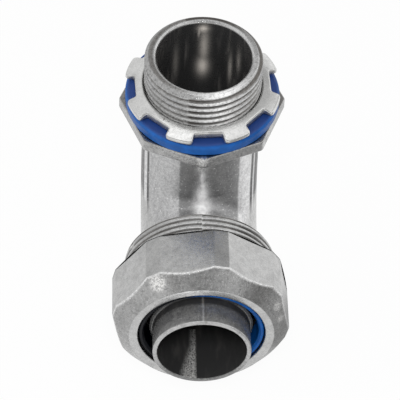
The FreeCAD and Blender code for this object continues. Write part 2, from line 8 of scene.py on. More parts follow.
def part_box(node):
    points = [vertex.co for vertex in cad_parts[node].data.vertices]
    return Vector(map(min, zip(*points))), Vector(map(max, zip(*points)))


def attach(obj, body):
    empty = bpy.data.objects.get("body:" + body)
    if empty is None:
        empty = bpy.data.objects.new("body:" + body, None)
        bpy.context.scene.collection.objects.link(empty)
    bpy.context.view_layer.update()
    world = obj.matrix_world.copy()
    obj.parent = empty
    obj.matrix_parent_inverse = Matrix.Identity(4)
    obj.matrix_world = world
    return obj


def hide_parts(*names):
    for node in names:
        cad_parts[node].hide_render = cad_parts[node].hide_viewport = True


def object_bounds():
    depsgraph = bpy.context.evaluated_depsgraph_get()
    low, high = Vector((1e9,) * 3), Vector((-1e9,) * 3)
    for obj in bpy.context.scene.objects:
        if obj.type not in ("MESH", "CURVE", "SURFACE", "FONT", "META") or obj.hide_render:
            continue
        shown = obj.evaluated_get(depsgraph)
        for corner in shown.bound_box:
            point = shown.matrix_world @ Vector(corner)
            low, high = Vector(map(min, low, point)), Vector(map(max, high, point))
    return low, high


# Dresses a right-angle connector for liquidtight conduit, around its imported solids.
# Everything is in metres. The hub points up along +Z and the gland forward along -Y.

bl_info = {
    "name": "Liquidtight conduit connector",
    "version": (1, 0, 0),
    "blender": (4, 5, 0),
    "location": "View3D > Sidebar > Connector",
    "description": "Builds the threads, castings and finishes of a conduit connector",
    "category": "Object",
}

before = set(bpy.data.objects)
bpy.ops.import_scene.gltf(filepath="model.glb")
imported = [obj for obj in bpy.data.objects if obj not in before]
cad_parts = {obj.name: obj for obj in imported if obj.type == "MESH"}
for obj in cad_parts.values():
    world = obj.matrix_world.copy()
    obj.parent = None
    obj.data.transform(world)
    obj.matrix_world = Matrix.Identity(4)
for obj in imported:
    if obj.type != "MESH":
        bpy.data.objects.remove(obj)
cad_low, cad_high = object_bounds()
UP = np.array((0.0, 0.0, 1.0))
FRONT = np.array((0.0, -1.0, 0.0))
RIGHT = np.array((1.0, 0.0, 0.0))
WHITE = (1.0, 1.0, 1.0)

# Flange and gland nut have eight sides, and the locknut has eight lugs
SIDES = 8
SECTOR = 2 * math.pi / SIDES

# The gland's axis lies this far under the flange face
GLAND_DROP = 0.0437
GLAND = UP * -GLAND_DROP

# How far a point may be off a size and still count as on it, loosely and closely
SLACK = 0.0001
TIGHT = 0.00002

# Small round of the turned and cast edges
EDGE_ROUND = 0.0002


def length(name, description, default):
    """A size in metres that a user can change."""
    return bpy.props.FloatProperty(
        name=name, description=description, default=default, min=0.0, precision=5, unit="LENGTH")


def share(name, description, default):
    """A plain number from 0 to 1."""
    return bpy.props.FloatProperty(
        name=name, description=description, default=default, min=0.0, max=1.0, subtype="FACTOR")


def colour(name, description, default):
    """A linear colour that a user can change."""
    return bpy.props.FloatVectorProperty(
        name=name, description=description, default=default, size=3, min=0.0, max=1.0,
        subtype="COLOR")


class CastingSizes(bpy.types.PropertyGroup):
    """Sizes of the elbow casting."""

    hub_radius: length("Hub radius", "Crest of the hub's thread", 0.0167)
    hub_tip_bevel: length("Hub tip bevel", "Bevel at the end of the hub", 0.0014)
    bore_radius: length("Bore radius", "Way for the wires", 0.0134)
    mouth_bevel: length("Mouth bevel", "Bevel inside the hub's mouth", 0.0007)
    flange_radius: length("Flange radius", "Octagon's corners before rounding", 0.02374)
    flange_thickness: length("Flange thickness", "Height of the octagon", 0.0037)
    flange_corner_round: length("Flange corner round", "Round of its eight corners", 0.0012)
    flange_edge_round: length("Flange edge round", "Round of its upper and lower edge", 0.00045)
    leg_top_radius: length("Leg top radius", "Leg just under the flange", 0.0163)
    leg_low_radius: length("Leg low radius", "Leg at the bend", 0.0171)
    leg_root_round: length("Leg root round", "Cast round under the flange", 0.0014)
    bend_radius: length("Bend radius", "Centre line of the bend", 0.020)
    barrel_radius: length("Barrel radius", "Crest of the barrel's thread", 0.0219)
    barrel_back: length("Barrel back", "From the hub's axis to the shoulder", 0.0243)
    barrel_mouth: length("Barrel mouth", "From the hub's axis to the barrel's end", 0.044)
    barrel_bevel: length("Barrel bevel", "Bevel at both ends of the barrel", 0.0008)
    shoulder_round: length("Shoulder round", "Cast round behind the barrel", 0.0022)
    socket_radius: length("Socket radius", "Counterbore for the ferrule", 0.0184)
    socket_floor: length("Socket floor", "From the hub's axis to the counterbore's floor", 0.034)
    parting_height: length("Parting line height", "How far the parting line stands proud", 0.00006)
    parting_width: length("Parting line width", "Half width of the parting line", 0.00022)


class ThreadSizes(bpy.types.PropertyGroup):
    """Sizes of the two screw threads."""

    hub_pitch: length("Hub pitch", "Eleven and a half threads to the inch", 0.002209)
    hub_depth: length("Hub depth", "Crest to root of the hub's thread", 0.00105)
    hub_start: length("Hub start", "Height of the first groove on the +X side", 0.001105)
    barrel_pitch: length("Barrel pitch", "Fourteen threads to the inch", 0.001814)
    barrel_start: length("Barrel start", "Station of a groove on the +X side", 0.0229465)
    barrel_depth: length("Barrel depth", "Crest to root of the barrel's thread", 0.0008)
    clearance: length("Clearance", "Between crests and the female thread's roots", 0.00005)
    tooth_gap: length("Tooth gap", "Between roots and the female thread's teeth", 0.00025)
    crest_share: share("Crest share", "Where the flank meets the crest", 0.62)
    root_share: share("Root share", "Where the flank meets the root", 0.10)
    mismatch: share("Mismatch", "Step of the left half, as a share of the pitch", 0.09)


class LocknutSizes(bpy.types.PropertyGroup):
    """Sizes of the locknut."""

    lug_radius: length("Lug radius", "Outside of the lugs", 0.0223)
    notch_radius: length("Notch radius", "Floor of the notches", 0.0192)
    notch_width: length("Notch width", "Width at the notch's floor", 0.0079)
    notch_spread: length("Notch spread", "Extra width at the lugs' outside", 0.0017)
    crown_height: length("Crown height", "Above the sealing ring", 0.0032)
    collar_width: length("Collar width", "Foot of the nut on the sealing ring", 0.0015)
    plate_gap: length("Plate gap", "Under the plate and lugs", 0.00075)
    lug_top: length("Lug top", "Height at the lugs' outside", 0.0018)
    droop: bpy.props.FloatProperty(
        name="Droop", description="How late the lugs bend down; 1 is a plain cone", default=1.4,
        min=1.0, max=4.0)
    lug_round: length("Lug round", "Round of the lugs' corners", 0.0010)
    notch_round: length("Notch round", "Round inside the notches", 0.0006)
    edge_round: length("Edge round", "Round of the upper edge", 0.00048)
    turn: bpy.props.FloatProperty(
        name="Turn", description="How far the lugs are turned from the front",
        default=math.radians(3.2), subtype="ANGLE")


class GlandNutSizes(bpy.types.PropertyGroup):
    """Sizes of the gland nut, along the gland from the hub's axis."""

    back: length("Back", "Station of the back face", 0.0336)
    front: length("Front", "Station of the front face", 0.0518)
    corner_radius: length("Corner radius", "Octagon's corners before the cut", 0.0265)
    corner_cut: length("Corner cut", "How far each corner is cut along its sides", 0.0024)
    face_radius: length("Face radius", "Outside of the front face", 0.0208)
    cone_length: length("Cone length", "From the front face to the corners", 0.0058)
    mouth_radius: length("Mouth radius", "Opening for the conduit", 0.0182)
    lip_length: length("Lip length", "Straight part of the opening", 0.0022)
    cavity_radius: length("Cavity radius", "Room for the gland ring", 0.0204)
    cavity_front: length("Cavity front", "Station where the cavity tapers", 0.0468)
    thread_end: length("Thread end", "Station where the thread stops", 0.0452)
    back_bevel: length("Back bevel", "Bevel at the start of the thread", 0.0004)
    edge_round: length("Edge round", "Round of the turned edges", 0.0006)
    corner_soft: length("Corner softness", "Blend between neighbouring flats", 0.00012)
    cone_soft: length("Cone softness", "Blend between the flats and the cone", 0.0007)
    turn: bpy.props.FloatProperty(
        name="Turn", description="Turn of the top corner to the right, seen from the mouth",
        default=math.radians(11.5), subtype="ANGLE")


class FerruleSizes(bpy.types.PropertyGroup):
    """Sizes of the ferrule, along the gland from the hub's axis."""

    seat: length("Seat", "Station of the flange in the socket", 0.034)
    lip: length("Lip", "Station of the free end", 0.0579)
    inner_radius: length("Inner radius", "Way for the wires", 0.01275)
    tube_radius: length("Tube radius", "Outside of the free end", 0.01405)
    band_radius: length("Band radius", "Outside of the stepped band", 0.01485)
    band_front: length("Band front", "Station where the band ends", 0.0489)
    band_bevel: length("Band bevel", "Bevel of the band's end", 0.0006)
    cup_radius: length("Cup radius", "Outside of the cup", 0.0181)
    cup_front: length("Cup front", "Station of the cup's edge", 0.0415)
    wall: length("Wall", "Thickness of cup and flange", 0.0012)
    lip_round: length("Lip round", "Round of the free end", 0.00045)
    seam_height: length("Seam height", "How far the mould seam stands proud", 0.00009)
    crust_depth: length("Crust depth", "Roughness of the strip inside the tube", 0.00022)


class FinishColours(bpy.types.PropertyGroup):
    """Colours of the finishes, as linear values."""

    cast_light: colour("Cast metal, light", "Worn skin of the castings", (0.60, 0.60, 0.595))
    cast_dark: colour("Cast metal, dark", "Dull skin of the castings", (0.48, 0.48, 0.478))
    nut_light: colour("Locknut, light", "Tumbled skin of the locknut", (0.82, 0.82, 0.81))
    nut_dark: colour("Locknut, dark", "Dull skin of the locknut", (0.70, 0.70, 0.69))
    tube_light: colour("Ferrule, light", "Plated skin of the ferrule", (0.27, 0.27, 0.265))
    tube_dark: colour("Ferrule, dark", "Dull skin of the ferrule", (0.14, 0.14, 0.143))
    bore: colour("Inside", "Unlit skin inside the castings", (0.14, 0.14, 0.142))
    blue: colour("Blue plastic", "Both sealing rings", (0.005, 0.108, 0.42))
    floor: colour("Floor", "Floor under the part", (0.86, 0.86, 0.86))


class StudioSizes(bpy.types.PropertyGroup):
    """Camera and light."""

    distance: length("Camera distance", "From the camera to the part", 0.673)
    lens: bpy.props.FloatProperty(
        name="Lens", description="Focal length on a 36 mm sensor, in millimetres", default=211.1)
    azimuth: bpy.props.FloatProperty(
        name="Azimuth", description="Camera's turn to the left", default=math.radians(3.33),
        subtype="ANGLE")
    elevation: bpy.props.FloatProperty(
        name="Elevation", description="Camera's height", default=math.radians(49.62),
        subtype="ANGLE")
    roll: bpy.props.FloatProperty(
        name="Roll", description="Camera's tilt", default=math.radians(2.70), subtype="ANGLE")
    aim: bpy.props.FloatVectorProperty(
        name="Aim", description="Point that the camera looks at", size=3,
        default=(-0.0004, -0.0199, -0.0215), subtype="TRANSLATION", unit="LENGTH")


GROUPS = {
    "connector_casting": CastingSizes,
    "connector_thread": ThreadSizes,
    "connector_locknut": LocknutSizes,
    "connector_gland_nut": GlandNutSizes,
    "connector_ferrule": FerruleSizes,
    "connector_finish": FinishColours,
    "connector_studio": StudioSizes,
}


def rounded_path(corners, closed=True):
    """Points along straight lines through the corners, each rounded by its own radius.

    A corner is (across, along, round, spacing to the next corner).
    """
    places = [np.array(c[:2], float) for c in corners]
    count = len(corners)
    entries, exits, arcs = [], [], []
    for i, corner in enumerate(corners):
        here = places[i]
        before = places[i - 1] - here
        after = places[(i + 1) % count] - here
        if (not closed and i in (0, count - 1)) or corner[2] == 0.0:
            entries.append(here)
            exits.append(here)
            arcs.append([here])
            continue
        before = before / np.linalg.norm(before)
        after = after / np.linalg.norm(after)
        turn = math.pi - math.acos(max(-1.0, min(1.0, float(before @ after))))
        cut = corner[2] * math.tan(turn / 2)
        start, end = here + before * cut, here + after * cut
        middle = before + after
        centre = here + middle / np.linalg.norm(middle) * corner[2] / math.cos(turn / 2)
        pieces = max(2, math.ceil(turn / math.radians(18)))
        arc = []
        for k in range(pieces + 1):
            a = turn * k / pieces
            one = math.sin(turn - a) / math.sin(turn)
            two = math.sin(a) / math.sin(turn)
            arc.append(centre + (start - centre) * one + (end - centre) * two)
        entries.append(start)
        exits.append(end)
        arcs.append(arc)
    path = []
    for i, corner in enumerate(corners):
        path.extend(arcs[i])
        if closed or i < count - 1:
            gap = entries[(i + 1) % count] - exits[i]
            parts = max(1, math.ceil(np.linalg.norm(gap) / corner[3]))
            path.extend(exits[i] + gap * k / parts for k in range(1, parts))
    return np.array(path)


def polygon_radius(angles, corner_radius, corner_round):
    """Radius of an octagon with rounded corners, one corner at angle 0."""
    half = SECTOR / 2
    off = np.abs((angles + half) % SECTOR - half)
    flat = corner_radius * math.cos(half)
    straight = flat / np.cos(half - off)
    centre = corner_radius - corner_round / math.cos(half)
    reach = np.maximum(corner_round ** 2 - (centre * np.sin(off)) ** 2, 0.0)
    arc = centre * np.cos(off) + np.sqrt(reach)
    touch = np.arctan2(flat * math.tan(half) - corner_round * math.tan(half), flat)
    return np.where(off < half - touch, arc, straight)


def crowded_angles(count, turn, crowding):
    """Angles round a circle that crowd together at the octagon's corners."""
    even = 2 * math.pi * np.arange(count) / count
    return even - crowding / SIDES * np.sin(SIDES * even) + turn


def strip_angles(corner_radius, corner_cut, turn):
    """Angles round an octagon with cut corners, crowded at both edges of each cut."""
    half = SECTOR / 2
    across = corner_radius * math.sin(half) - corner_cut
    flat = corner_radius * math.cos(half)
    edge = half - math.atan2(across, flat)
    on_cut = [0.0, 0.45 * edge, 0.8 * edge]
    at_edge = [edge + math.radians(d) for d in (-0.28, -0.1, 0.1, 0.28, 0.7, 1.6)]
    on_flat = list(np.linspace(edge + math.radians(3.0), half, 9))
    right = on_cut + at_edge + on_flat
    sector = [-s for s in reversed(right[1:-1])] + right
    return np.array([turn + SECTOR * k + s for k in range(SIDES) for s in sector])


def fade(value, start, width):
    """Rise from 0 at start to 1 a width further on; with a negative width it is further back."""
    return np.clip((value - start) / width, 0.0, 1.0)


def bell(value, middle, width):
    """1 in the middle, falling off smoothly to both sides."""
    return np.exp(-((value - middle) / width) ** 2)


def read_mark(mesh, mark, shape):
    """One mark of a mesh, as rows of points."""
    values = np.zeros(len(mesh.vertices), np.float32)
    mesh.attributes[mark].data.foreach_get("value", values)
    return values.reshape(shape)


def write_marks(mesh, marks):
    """Put marks, given as rows of points, on a mesh."""
    for mark, values in marks.items():
        record = mesh.attributes.get(mark) or mesh.attributes.new(mark, "FLOAT", "POINT")
        record.data.foreach_set("value", values.reshape(-1).astype(np.float32))


def grid_mesh(name, points, marks, wrap=True):
    """A mesh from rows of points; rows close on themselves, columns too if wrap is true."""
    rows, columns, _ = points.shape
    mesh = bpy.data.meshes.new(name)
    index = np.arange(rows * columns).reshape(rows, columns)
    below = np.roll(index, -1, axis=0)
    if wrap:
        quads = np.stack([index, np.roll(index, -1, axis=1), np.roll(below, -1, axis=1), below],
                         axis=-1)
    else:
        quads = np.stack([index[:, :-1], index[:, 1:], below[:, 1:], below[:, :-1]], axis=-1)
    quads = quads.reshape(-1, 4)
    mesh.vertices.add(rows * columns)
    mesh.vertices.foreach_set("co", points.reshape(-1).astype(np.float32))
    mesh.loops.add(quads.size)
    mesh.loops.foreach_set("vertex_index", quads.reshape(-1).astype(np.int32))
    mesh.polygons.add(len(quads))
    mesh.polygons.foreach_set("loop_start", np.arange(0, quads.size, 4, dtype=np.int32))
    write_marks(mesh, marks)
    mesh.update()
    mesh.validate()
    return mesh


def turned(path, angles, centre, across, upward, along):
    """Turn a path of (radius, station) pairs about an axis, as rows of points."""
    ring = np.cos(angles)[:, None] * across + np.sin(angles)[:, None] * upward
    radius = path[:, 0][:, None, None]
    station = path[:, 1][:, None, None]
    return centre + radius * ring[None] + station * along


def add_object(name, mesh):
    """Link a new object that holds the mesh, shaded smooth."""
    thing = bpy.data.objects.new(name, mesh)
    bpy.context.scene.collection.objects.link(thing)
    mesh.polygons.foreach_set("use_smooth", np.ones(len(mesh.polygons), bool))
    return thing


def outward(mesh):
    """Turn every face of a closed mesh so that its volume is positive."""
    corners = np.array([v.co for v in mesh.vertices])
    mesh.calc_loop_triangles()
    tris = np.array([t.vertices[:] for t in mesh.loop_triangles])
    a, b, c = corners[tris[:, 0]], corners[tris[:, 1]], corners[tris[:, 2]]
    if np.einsum("ij,ij->i", a, np.cross(b, c)).sum() < 0:
        mesh.flip_normals()


def straight_out(point, centre_line):
    """The direction from an axis straight out through a point."""
    direction = point - centre_line(point)
    return direction / np.linalg.norm(direction)


def lumpy(points, spots, centre_line):
    """Push points near each spot in or out by an uneven amount, and return how far in they are.

    A spot is (middle, reach, lift, unevenness, grain); centre_line gives the axis beside a point.
    """
    share_of = np.zeros(points.shape[:2])
    for middle, reach, lift, uneven, grain in spots:
        away = np.linalg.norm(points - np.array(middle), axis=-1)
        for row, column in zip(*np.nonzero(away < reach)):
            point = points[row, column]
            near = 1 - away[row, column] / reach
            weight = min(1.0, near * 2.2)
            rough = noise.fractal(Vector(point / grain), 0.8, 2.0, 3)
            direction = straight_out(point, centre_line)
            points[row, column] = point + direction * weight * (lift + uneven * rough)
            share_of[row, column] = max(share_of[row, column], weight)
    return share_of


def new_tree(name, inputs):
    """A geometry tree with a Geometry input and output and the given named inputs."""
    tree = bpy.data.node_groups.new(name, "GeometryNodeTree")
    interface = tree.interface
    interface.new_socket("Geometry", in_out="INPUT", socket_type="NodeSocketGeometry")
    for label, kind, default in inputs:
        socket = interface.new_socket(label, in_out="INPUT", socket_type="NodeSocket" + kind)
        if default is not None:
            socket.default_value = default
    interface.new_socket("Geometry", in_out="OUTPUT", socket_type="NodeSocketGeometry")
    return tree


def place(tree, kind, **settings):
    """Add a node and set its properties."""
    node = tree.nodes.new(kind)
    for key, value in settings.items():
        setattr(node, key, value)
    return node


def feed(tree, socket, value):
    """Link a socket to an output, or write a plain value on it."""
    if isinstance(value, bpy.types.NodeSocket):
        tree.links.new(value, socket)
    else:
        socket.default_value = value


def number(tree, operation, *values):
    """A Math node with these inputs, as its output."""
    node = place(tree, "ShaderNodeMath", operation=operation)
    for socket, value in zip(node.inputs, values):
        feed(tree, socket, value)
    return node.outputs[0]


def arrow(tree, operation, *values):
    """A Vector Math node with these inputs, as its output."""
    node = place(tree, "ShaderNodeVectorMath", operation=operation)
    slots = [s for s in node.inputs if s.name != "Scale"]
    if operation == "SCALE":
        slots = [node.inputs[0], node.inputs["Scale"]]
    for socket, value in zip(slots, values):
        feed(tree, socket, value)
    single = operation in ("DOT_PRODUCT", "LENGTH")
    return node.outputs["Value" if single else "Vector"]


def smooth_step(tree, value, low, high, start, end):
    """A smooth ramp from start at low to end at high."""
    node = place(tree, "ShaderNodeMapRange", interpolation_type="SMOOTHSTEP")
    for label, given in (("Value", value), ("From Min", low), ("From Max", high),
                         ("To Min", start), ("To Max", end)):
        feed(tree, node.inputs[label], given)
    return node.outputs[0]


def about_axis(tree, given):
    """Nodes that split a point into its station, radius, angle and outward direction."""
    point = place(tree, "GeometryNodeInputPosition").outputs[0]
    offset = arrow(tree, "SUBTRACT", point, given["Centre"])
    station = arrow(tree, "DOT_PRODUCT", offset, given["Along"])
    along = arrow(tree, "SCALE", given["Along"], station)
    sideways = arrow(tree, "SUBTRACT", offset, along)
    radius = arrow(tree, "LENGTH", sideways)
    away = arrow(tree, "NORMALIZE", sideways)
    other = arrow(tree, "CROSS_PRODUCT", given["Along"], given["Across"])
    x = arrow(tree, "DOT_PRODUCT", away, given["Across"])
    y = arrow(tree, "DOT_PRODUCT", away, other)
    angle = number(tree, "ARCTAN2", y, x)
    return point, station, radius, angle, away


def read_value(tree, name):
    """A named vertex value of the geometry, as its output."""
    node = place(tree, "GeometryNodeInputNamedAttribute", data_type="FLOAT")
    feed(tree, node.inputs["Name"], name)
    return node.outputs[0]


def keep_value(tree, geometry, name, value):
    """Store a vertex value under a name, as the new geometry."""
    node = place(tree, "GeometryNodeStoreNamedAttribute", data_type="FLOAT", domain="POINT")
    for label, given in (("Geometry", geometry), ("Name", name), ("Value", value)):
        feed(tree, node.inputs[label], given)
    return node.outputs[0]


def move_points(tree, geometry, away, distance):
    """Move every point outwards by its own distance, as the new geometry."""
    node = place(tree, "GeometryNodeSetPosition")
    tree.links.new(geometry, node.inputs["Geometry"])
    feed(tree, node.inputs["Offset"], arrow(tree, "SCALE", away, distance))
    return node.outputs[0]


def finish_tree(tree, geometry, given):
    """End a tree in real geometry that carries the material."""
    real = place(tree, "GeometryNodeRealizeInstances")
    tree.links.new(geometry, real.inputs[0])
    paint = place(tree, "GeometryNodeSetMaterial")
    tree.links.new(real.outputs[0], paint.inputs["Geometry"])
    tree.links.new(given["Material"], paint.inputs["Material"])
    result = place(tree, "NodeGroupOutput")
    tree.links.new(paint.outputs[0], result.inputs[0])


AXIS_INPUTS = [
    ("Centre", "Vector", (0.0, 0.0, 0.0)),
    ("Along", "Vector", (0.0, 0.0, 1.0)),
    ("Across", "Vector", (1.0, 0.0, 0.0)),
]

# Size of the worn stretches of a thread, as waves to the metre
WEAR_SCALE = 260.0
# How far the wear goes: everywhere, and the more of it left of the parting place
WEAR_LEAST, WEAR_MORE = 0.6, 0.8
# Dirt and painted shade start this far from the middle of the groove, as a share of the way to the
# crest's middle
DIRT_AND_SHADE_FROM = 0.22


def screw_tree():
    """Cuts a right-hand thread into the marked part of a turned blank."""
    tree = new_tree("Screw thread", AXIS_INPUTS + [
        ("Mark", "String", "hub_thread"),
        ("Crest radius", "Float", 0.0167),
        ("Pitch", "Float", 0.0022),
        ("Start", "Float", 0.0),
        ("Depth", "Float", 0.001),
        ("Root share", "Float", 0.1),
        ("Crest share", "Float", 0.6),
        ("Mismatch", "Float", 0.0),
        ("Parting place", "Float", 0.0),
        ("Wear", "Float", 0.0),
        ("Dirt", "Float", 1.0),
        ("Cleaner left", "Float", 0.0),
        ("Material", "Material", None),
    ])
    given = place(tree, "NodeGroupInput").outputs
    point, station, radius, angle, away = about_axis(tree, given)
    split = place(tree, "ShaderNodeSeparateXYZ")
    feed(tree, split.inputs[0], point)
    left = number(tree, "LESS_THAN", split.outputs["X"], given["Parting place"])
    # How far each point is from the middle of its groove, from 0 there to 1 between two grooves
    turns = number(tree, "DIVIDE", angle, 2 * math.pi)
    above = number(tree, "SUBTRACT", station, given["Start"])
    rise = number(tree, "ADD", number(tree, "DIVIDE", above, given["Pitch"]), 0.5)
    step = number(tree, "MULTIPLY", left, given["Mismatch"])
    phase = number(tree, "ADD", number(tree, "SUBTRACT", rise, turns), step)
    phase = number(tree, "FRACT", phase)
    off = number(tree, "ABSOLUTE", number(tree, "SUBTRACT", phase, 0.5))
    off = number(tree, "MULTIPLY", off, 2.0)
    groove = smooth_step(tree, off, given["Root share"], given["Crest share"], 1.0, 0.0)
    # Worn and badly filled stretches are shallower
    wear = cloud(tree, point, WEAR_SCALE, 3.0)
    more = number(tree, "MULTIPLY_ADD", left, WEAR_MORE, WEAR_LEAST)
    worn = number(tree, "MULTIPLY", number(tree, "MULTIPLY", wear, more), given["Wear"])
    depth = number(tree, "MULTIPLY", given["Depth"], number(tree, "SUBTRACT", 1.0, worn))
    cut = number(tree, "MULTIPLY", depth, groove)
    target = number(tree, "SUBTRACT", given["Crest radius"], cut)
    target = number(tree, "MINIMUM", radius, target)
    mark = read_value(tree, given["Mark"])
    # Dirt and painted shade lie up both flanks of each groove, less so on the worn side
    dirt = smooth_step(tree, off, DIRT_AND_SHADE_FROM, 1.0, 1.0, 0.0)
    cleaner = number(tree, "MULTIPLY", left, given["Cleaner left"])
    dirt = number(tree, "MULTIPLY", dirt, number(tree, "SUBTRACT", given["Dirt"], cleaner))
    dirt = number(tree, "MULTIPLY", dirt, mark)
    dirt = number(tree, "MAXIMUM", read_value(tree, "groove"), dirt)
    with_dirt_and_shade = keep_value(tree, given["Geometry"], "groove", dirt)
    change = number(tree, "MULTIPLY", number(tree, "SUBTRACT", target, radius), mark)
    finish_tree(tree, move_points(tree, with_dirt_and_shade, away, change), given)
    return tree


def octagon_tree():
    """Cuts a turned blank to an octagon with its corners cut back and a coned front."""
    tree = new_tree("Octagon nut", AXIS_INPUTS + [
        ("Turn", "Float", 0.0),
        ("Corner radius", "Float", 0.0265),
        ("Corner cut", "Float", 0.0024),
        ("Face radius", "Float", 0.0208),
        ("Front", "Float", 0.0518),
        ("Cone length", "Float", 0.0058),
        ("Corner softness", "Float", 0.0003),
        ("Cone softness", "Float", 0.0006),
        ("Worn width", "Float", 0.0004),
        ("Material", "Material", None),
    ])
    given = place(tree, "NodeGroupInput").outputs
    _, station, radius, angle, away = about_axis(tree, given)
    half = SECTOR / 2

    def plane(distance, start):
        """Radius at which the nearest of eight planes is met."""
        here = number(tree, "SUBTRACT", angle, number(tree, "ADD", given["Turn"], start))
        here = number(tree, "FLOORED_MODULO", here, SECTOR)
        off = number(tree, "SUBTRACT", here, half)
        return number(tree, "DIVIDE", distance, number(tree, "COSINE", off))

    flat = plane(number(tree, "MULTIPLY", given["Corner radius"], math.cos(half)), 0.0)
    sunk = number(tree, "MULTIPLY", given["Corner cut"], math.sin(half))
    strip = plane(number(tree, "SUBTRACT", given["Corner radius"], sunk), -half)
    block = number(tree, "SMOOTH_MIN", flat, strip, given["Corner softness"])
    spread = number(tree, "SUBTRACT", given["Corner radius"], given["Face radius"])
    slope = number(tree, "DIVIDE", spread, given["Cone length"])
    behind = number(tree, "SUBTRACT", given["Front"], station)
    cone = number(tree, "MULTIPLY_ADD", behind, slope, given["Face radius"])
    skin = number(tree, "SMOOTH_MIN", block, cone, given["Cone softness"])
    mark = read_value(tree, "skin")
    target = number(tree, "SUBTRACT", skin, read_value(tree, "inset"))
    change = number(tree, "MULTIPLY", number(tree, "SUBTRACT", target, radius), mark)
    # The edge between the flats and the cone gets a painted highlight
    gap = number(tree, "ABSOLUTE", number(tree, "SUBTRACT", block, cone))
    edge = smooth_step(tree, gap, 0.0, given["Worn width"], 0.75, 0.0)
    edge = number(tree, "MULTIPLY", edge, mark)
    worn = keep_value(tree, given["Geometry"], "sheen", edge)
    finish_tree(tree, move_points(tree, worn, away, change), given)
    return tree


def lug_tree():
    """Repeats one lug and its two half notches round the upright axis, as one closed ring."""
    tree = new_tree("Ring of lugs", [
        ("Count", "Int", SIDES),
        ("Turn", "Float", 0.0),
        ("Merge distance", "Float", 0.000002),
        ("Material", "Material", None),
    ])
    given = place(tree, "NodeGroupInput").outputs
    spots = place(tree, "GeometryNodePoints")
    feed(tree, spots.inputs["Count"], given["Count"])
    index = place(tree, "GeometryNodeInputIndex").outputs[0]
    step = number(tree, "DIVIDE", 2 * math.pi, given["Count"])
    angle = number(tree, "MULTIPLY_ADD", index, step, given["Turn"])
    turn = place(tree, "ShaderNodeCombineXYZ")
    feed(tree, turn.inputs["Z"], angle)
    copies = place(tree, "GeometryNodeInstanceOnPoints")
    tree.links.new(spots.outputs[0], copies.inputs["Points"])
    tree.links.new(given["Geometry"], copies.inputs["Instance"])
    tree.links.new(turn.outputs[0], copies.inputs["Rotation"])
    real = place(tree, "GeometryNodeRealizeInstances")
    tree.links.new(copies.outputs[0], real.inputs[0])
    merge = place(tree, "GeometryNodeMergeByDistance")
    tree.links.new(real.outputs[0], merge.inputs["Geometry"])
    feed(tree, merge.inputs["Distance"], given["Merge distance"])
    finish_tree(tree, merge.outputs[0], given)
    return tree


def shape_with(thing, tree, values):
    """Run a tree on an object once and keep the result as its plain mesh."""
    modifier = thing.modifiers.new(tree.name, "NODES")
    modifier.node_group = tree
    sockets = {s.name: s.identifier for s in tree.interface.items_tree if s.in_out == "INPUT"}
    for label, value in values.items():
        modifier[sockets[label]] = value
    graph = bpy.context.evaluated_depsgraph_get()
    result = bpy.data.meshes.new_from_object(thing.evaluated_get(graph), depsgraph=graph)
    thing.modifiers.remove(modifier)
    thing.data = result


# Axis of each thread: (a point on it, its direction)
THREAD_AXES = {"hub": (UP * 0.0, UP), "barrel": (GLAND, FRONT)}
# How much narrower the teeth of both nuts are than the grooves that they run in
TOOTH_NARROWER = 0.16


def cut_thread(thing, tree, side, settings):
    """Cut a thread with the screw tree, on the axis and pitch of the hub or the barrel."""
    thread = bpy.context.scene.connector_thread
    centre, along = THREAD_AXES[side]
    shape_with(thing, tree, {
        "Centre": tuple(centre), "Along": tuple(along), "Across": tuple(RIGHT),
        "Pitch": getattr(thread, side + "_pitch"), "Start": getattr(thread, side + "_start"),
        **settings,
    })


def cut_nut_thread(thing, side, bore, kind):
    """Cut the thread of the nut on the hub or the barrel, a little clear of the male one."""
    thread = bpy.context.scene.connector_thread
    cut_thread(thing, screw_tree(), side, {
        "Mark": "thread", "Crest radius": bore,
        "Depth": getattr(thread, side + "_depth") - thread.tooth_gap,
        "Root share": 0.0, "Crest share": thread.crest_share - TOOTH_NARROWER,
        "Material": finish(kind),
    })


def shader(name):
    """A new material with its surface shader, as (material, tree, shader node)."""
    material = bpy.data.materials.new(name)
    material.use_nodes = True
    tree = material.node_tree
    tree.nodes.clear()
    surface = place(tree, "ShaderNodeBsdfPrincipled")
    out = place(tree, "ShaderNodeOutputMaterial")
    tree.links.new(surface.outputs[0], out.inputs["Surface"])
    return material, tree, surface


def cloud(tree, where, scale, detail, roughness=0.5):
    """A noise texture, its scale in waves to the metre, as its output."""
    node = place(tree, "ShaderNodeTexNoise")
    tree.links.new(where, node.inputs["Vector"])
    node.inputs["Scale"].default_value = scale
    node.inputs["Detail"].default_value = detail
    node.inputs["Roughness"].default_value = roughness
    return node.outputs[0]


def blend(tree, factor, first, second):
    """A colour mix, as its output."""
    node = place(tree, "ShaderNodeMix", data_type="RGBA")
    feed(tree, node.inputs["Factor"], factor)
    for label, value in (("A", first), ("B", second)):
        socket = [s for s in node.inputs if s.name == label and s.type == "RGBA"][0]
        if isinstance(value, bpy.types.NodeSocket):
            tree.links.new(value, socket)
        else:
            socket.default_value = (*value, 1.0)
    return [s for s in node.outputs if s.type == "RGBA"][0]


def bump(tree, height, strength, distance, normal=None):
    """A bump layer over another one, as its output."""
    node = place(tree, "ShaderNodeBump")
    node.inputs["Strength"].default_value = strength
    node.inputs["Distance"].default_value = distance
    tree.links.new(height, node.inputs["Height"])
    if normal is not None:
        tree.links.new(normal, node.inputs["Normal"])
    return node.outputs[0]


def attribute(tree, name):
    """A vertex value of the piece, as its output."""
    return place(tree, "ShaderNodeAttribute", attribute_name=name).outputs["Fac"]


# Radius on which the leg's painted reflection bands are laid out
LEG_RADIUS = 0.0169
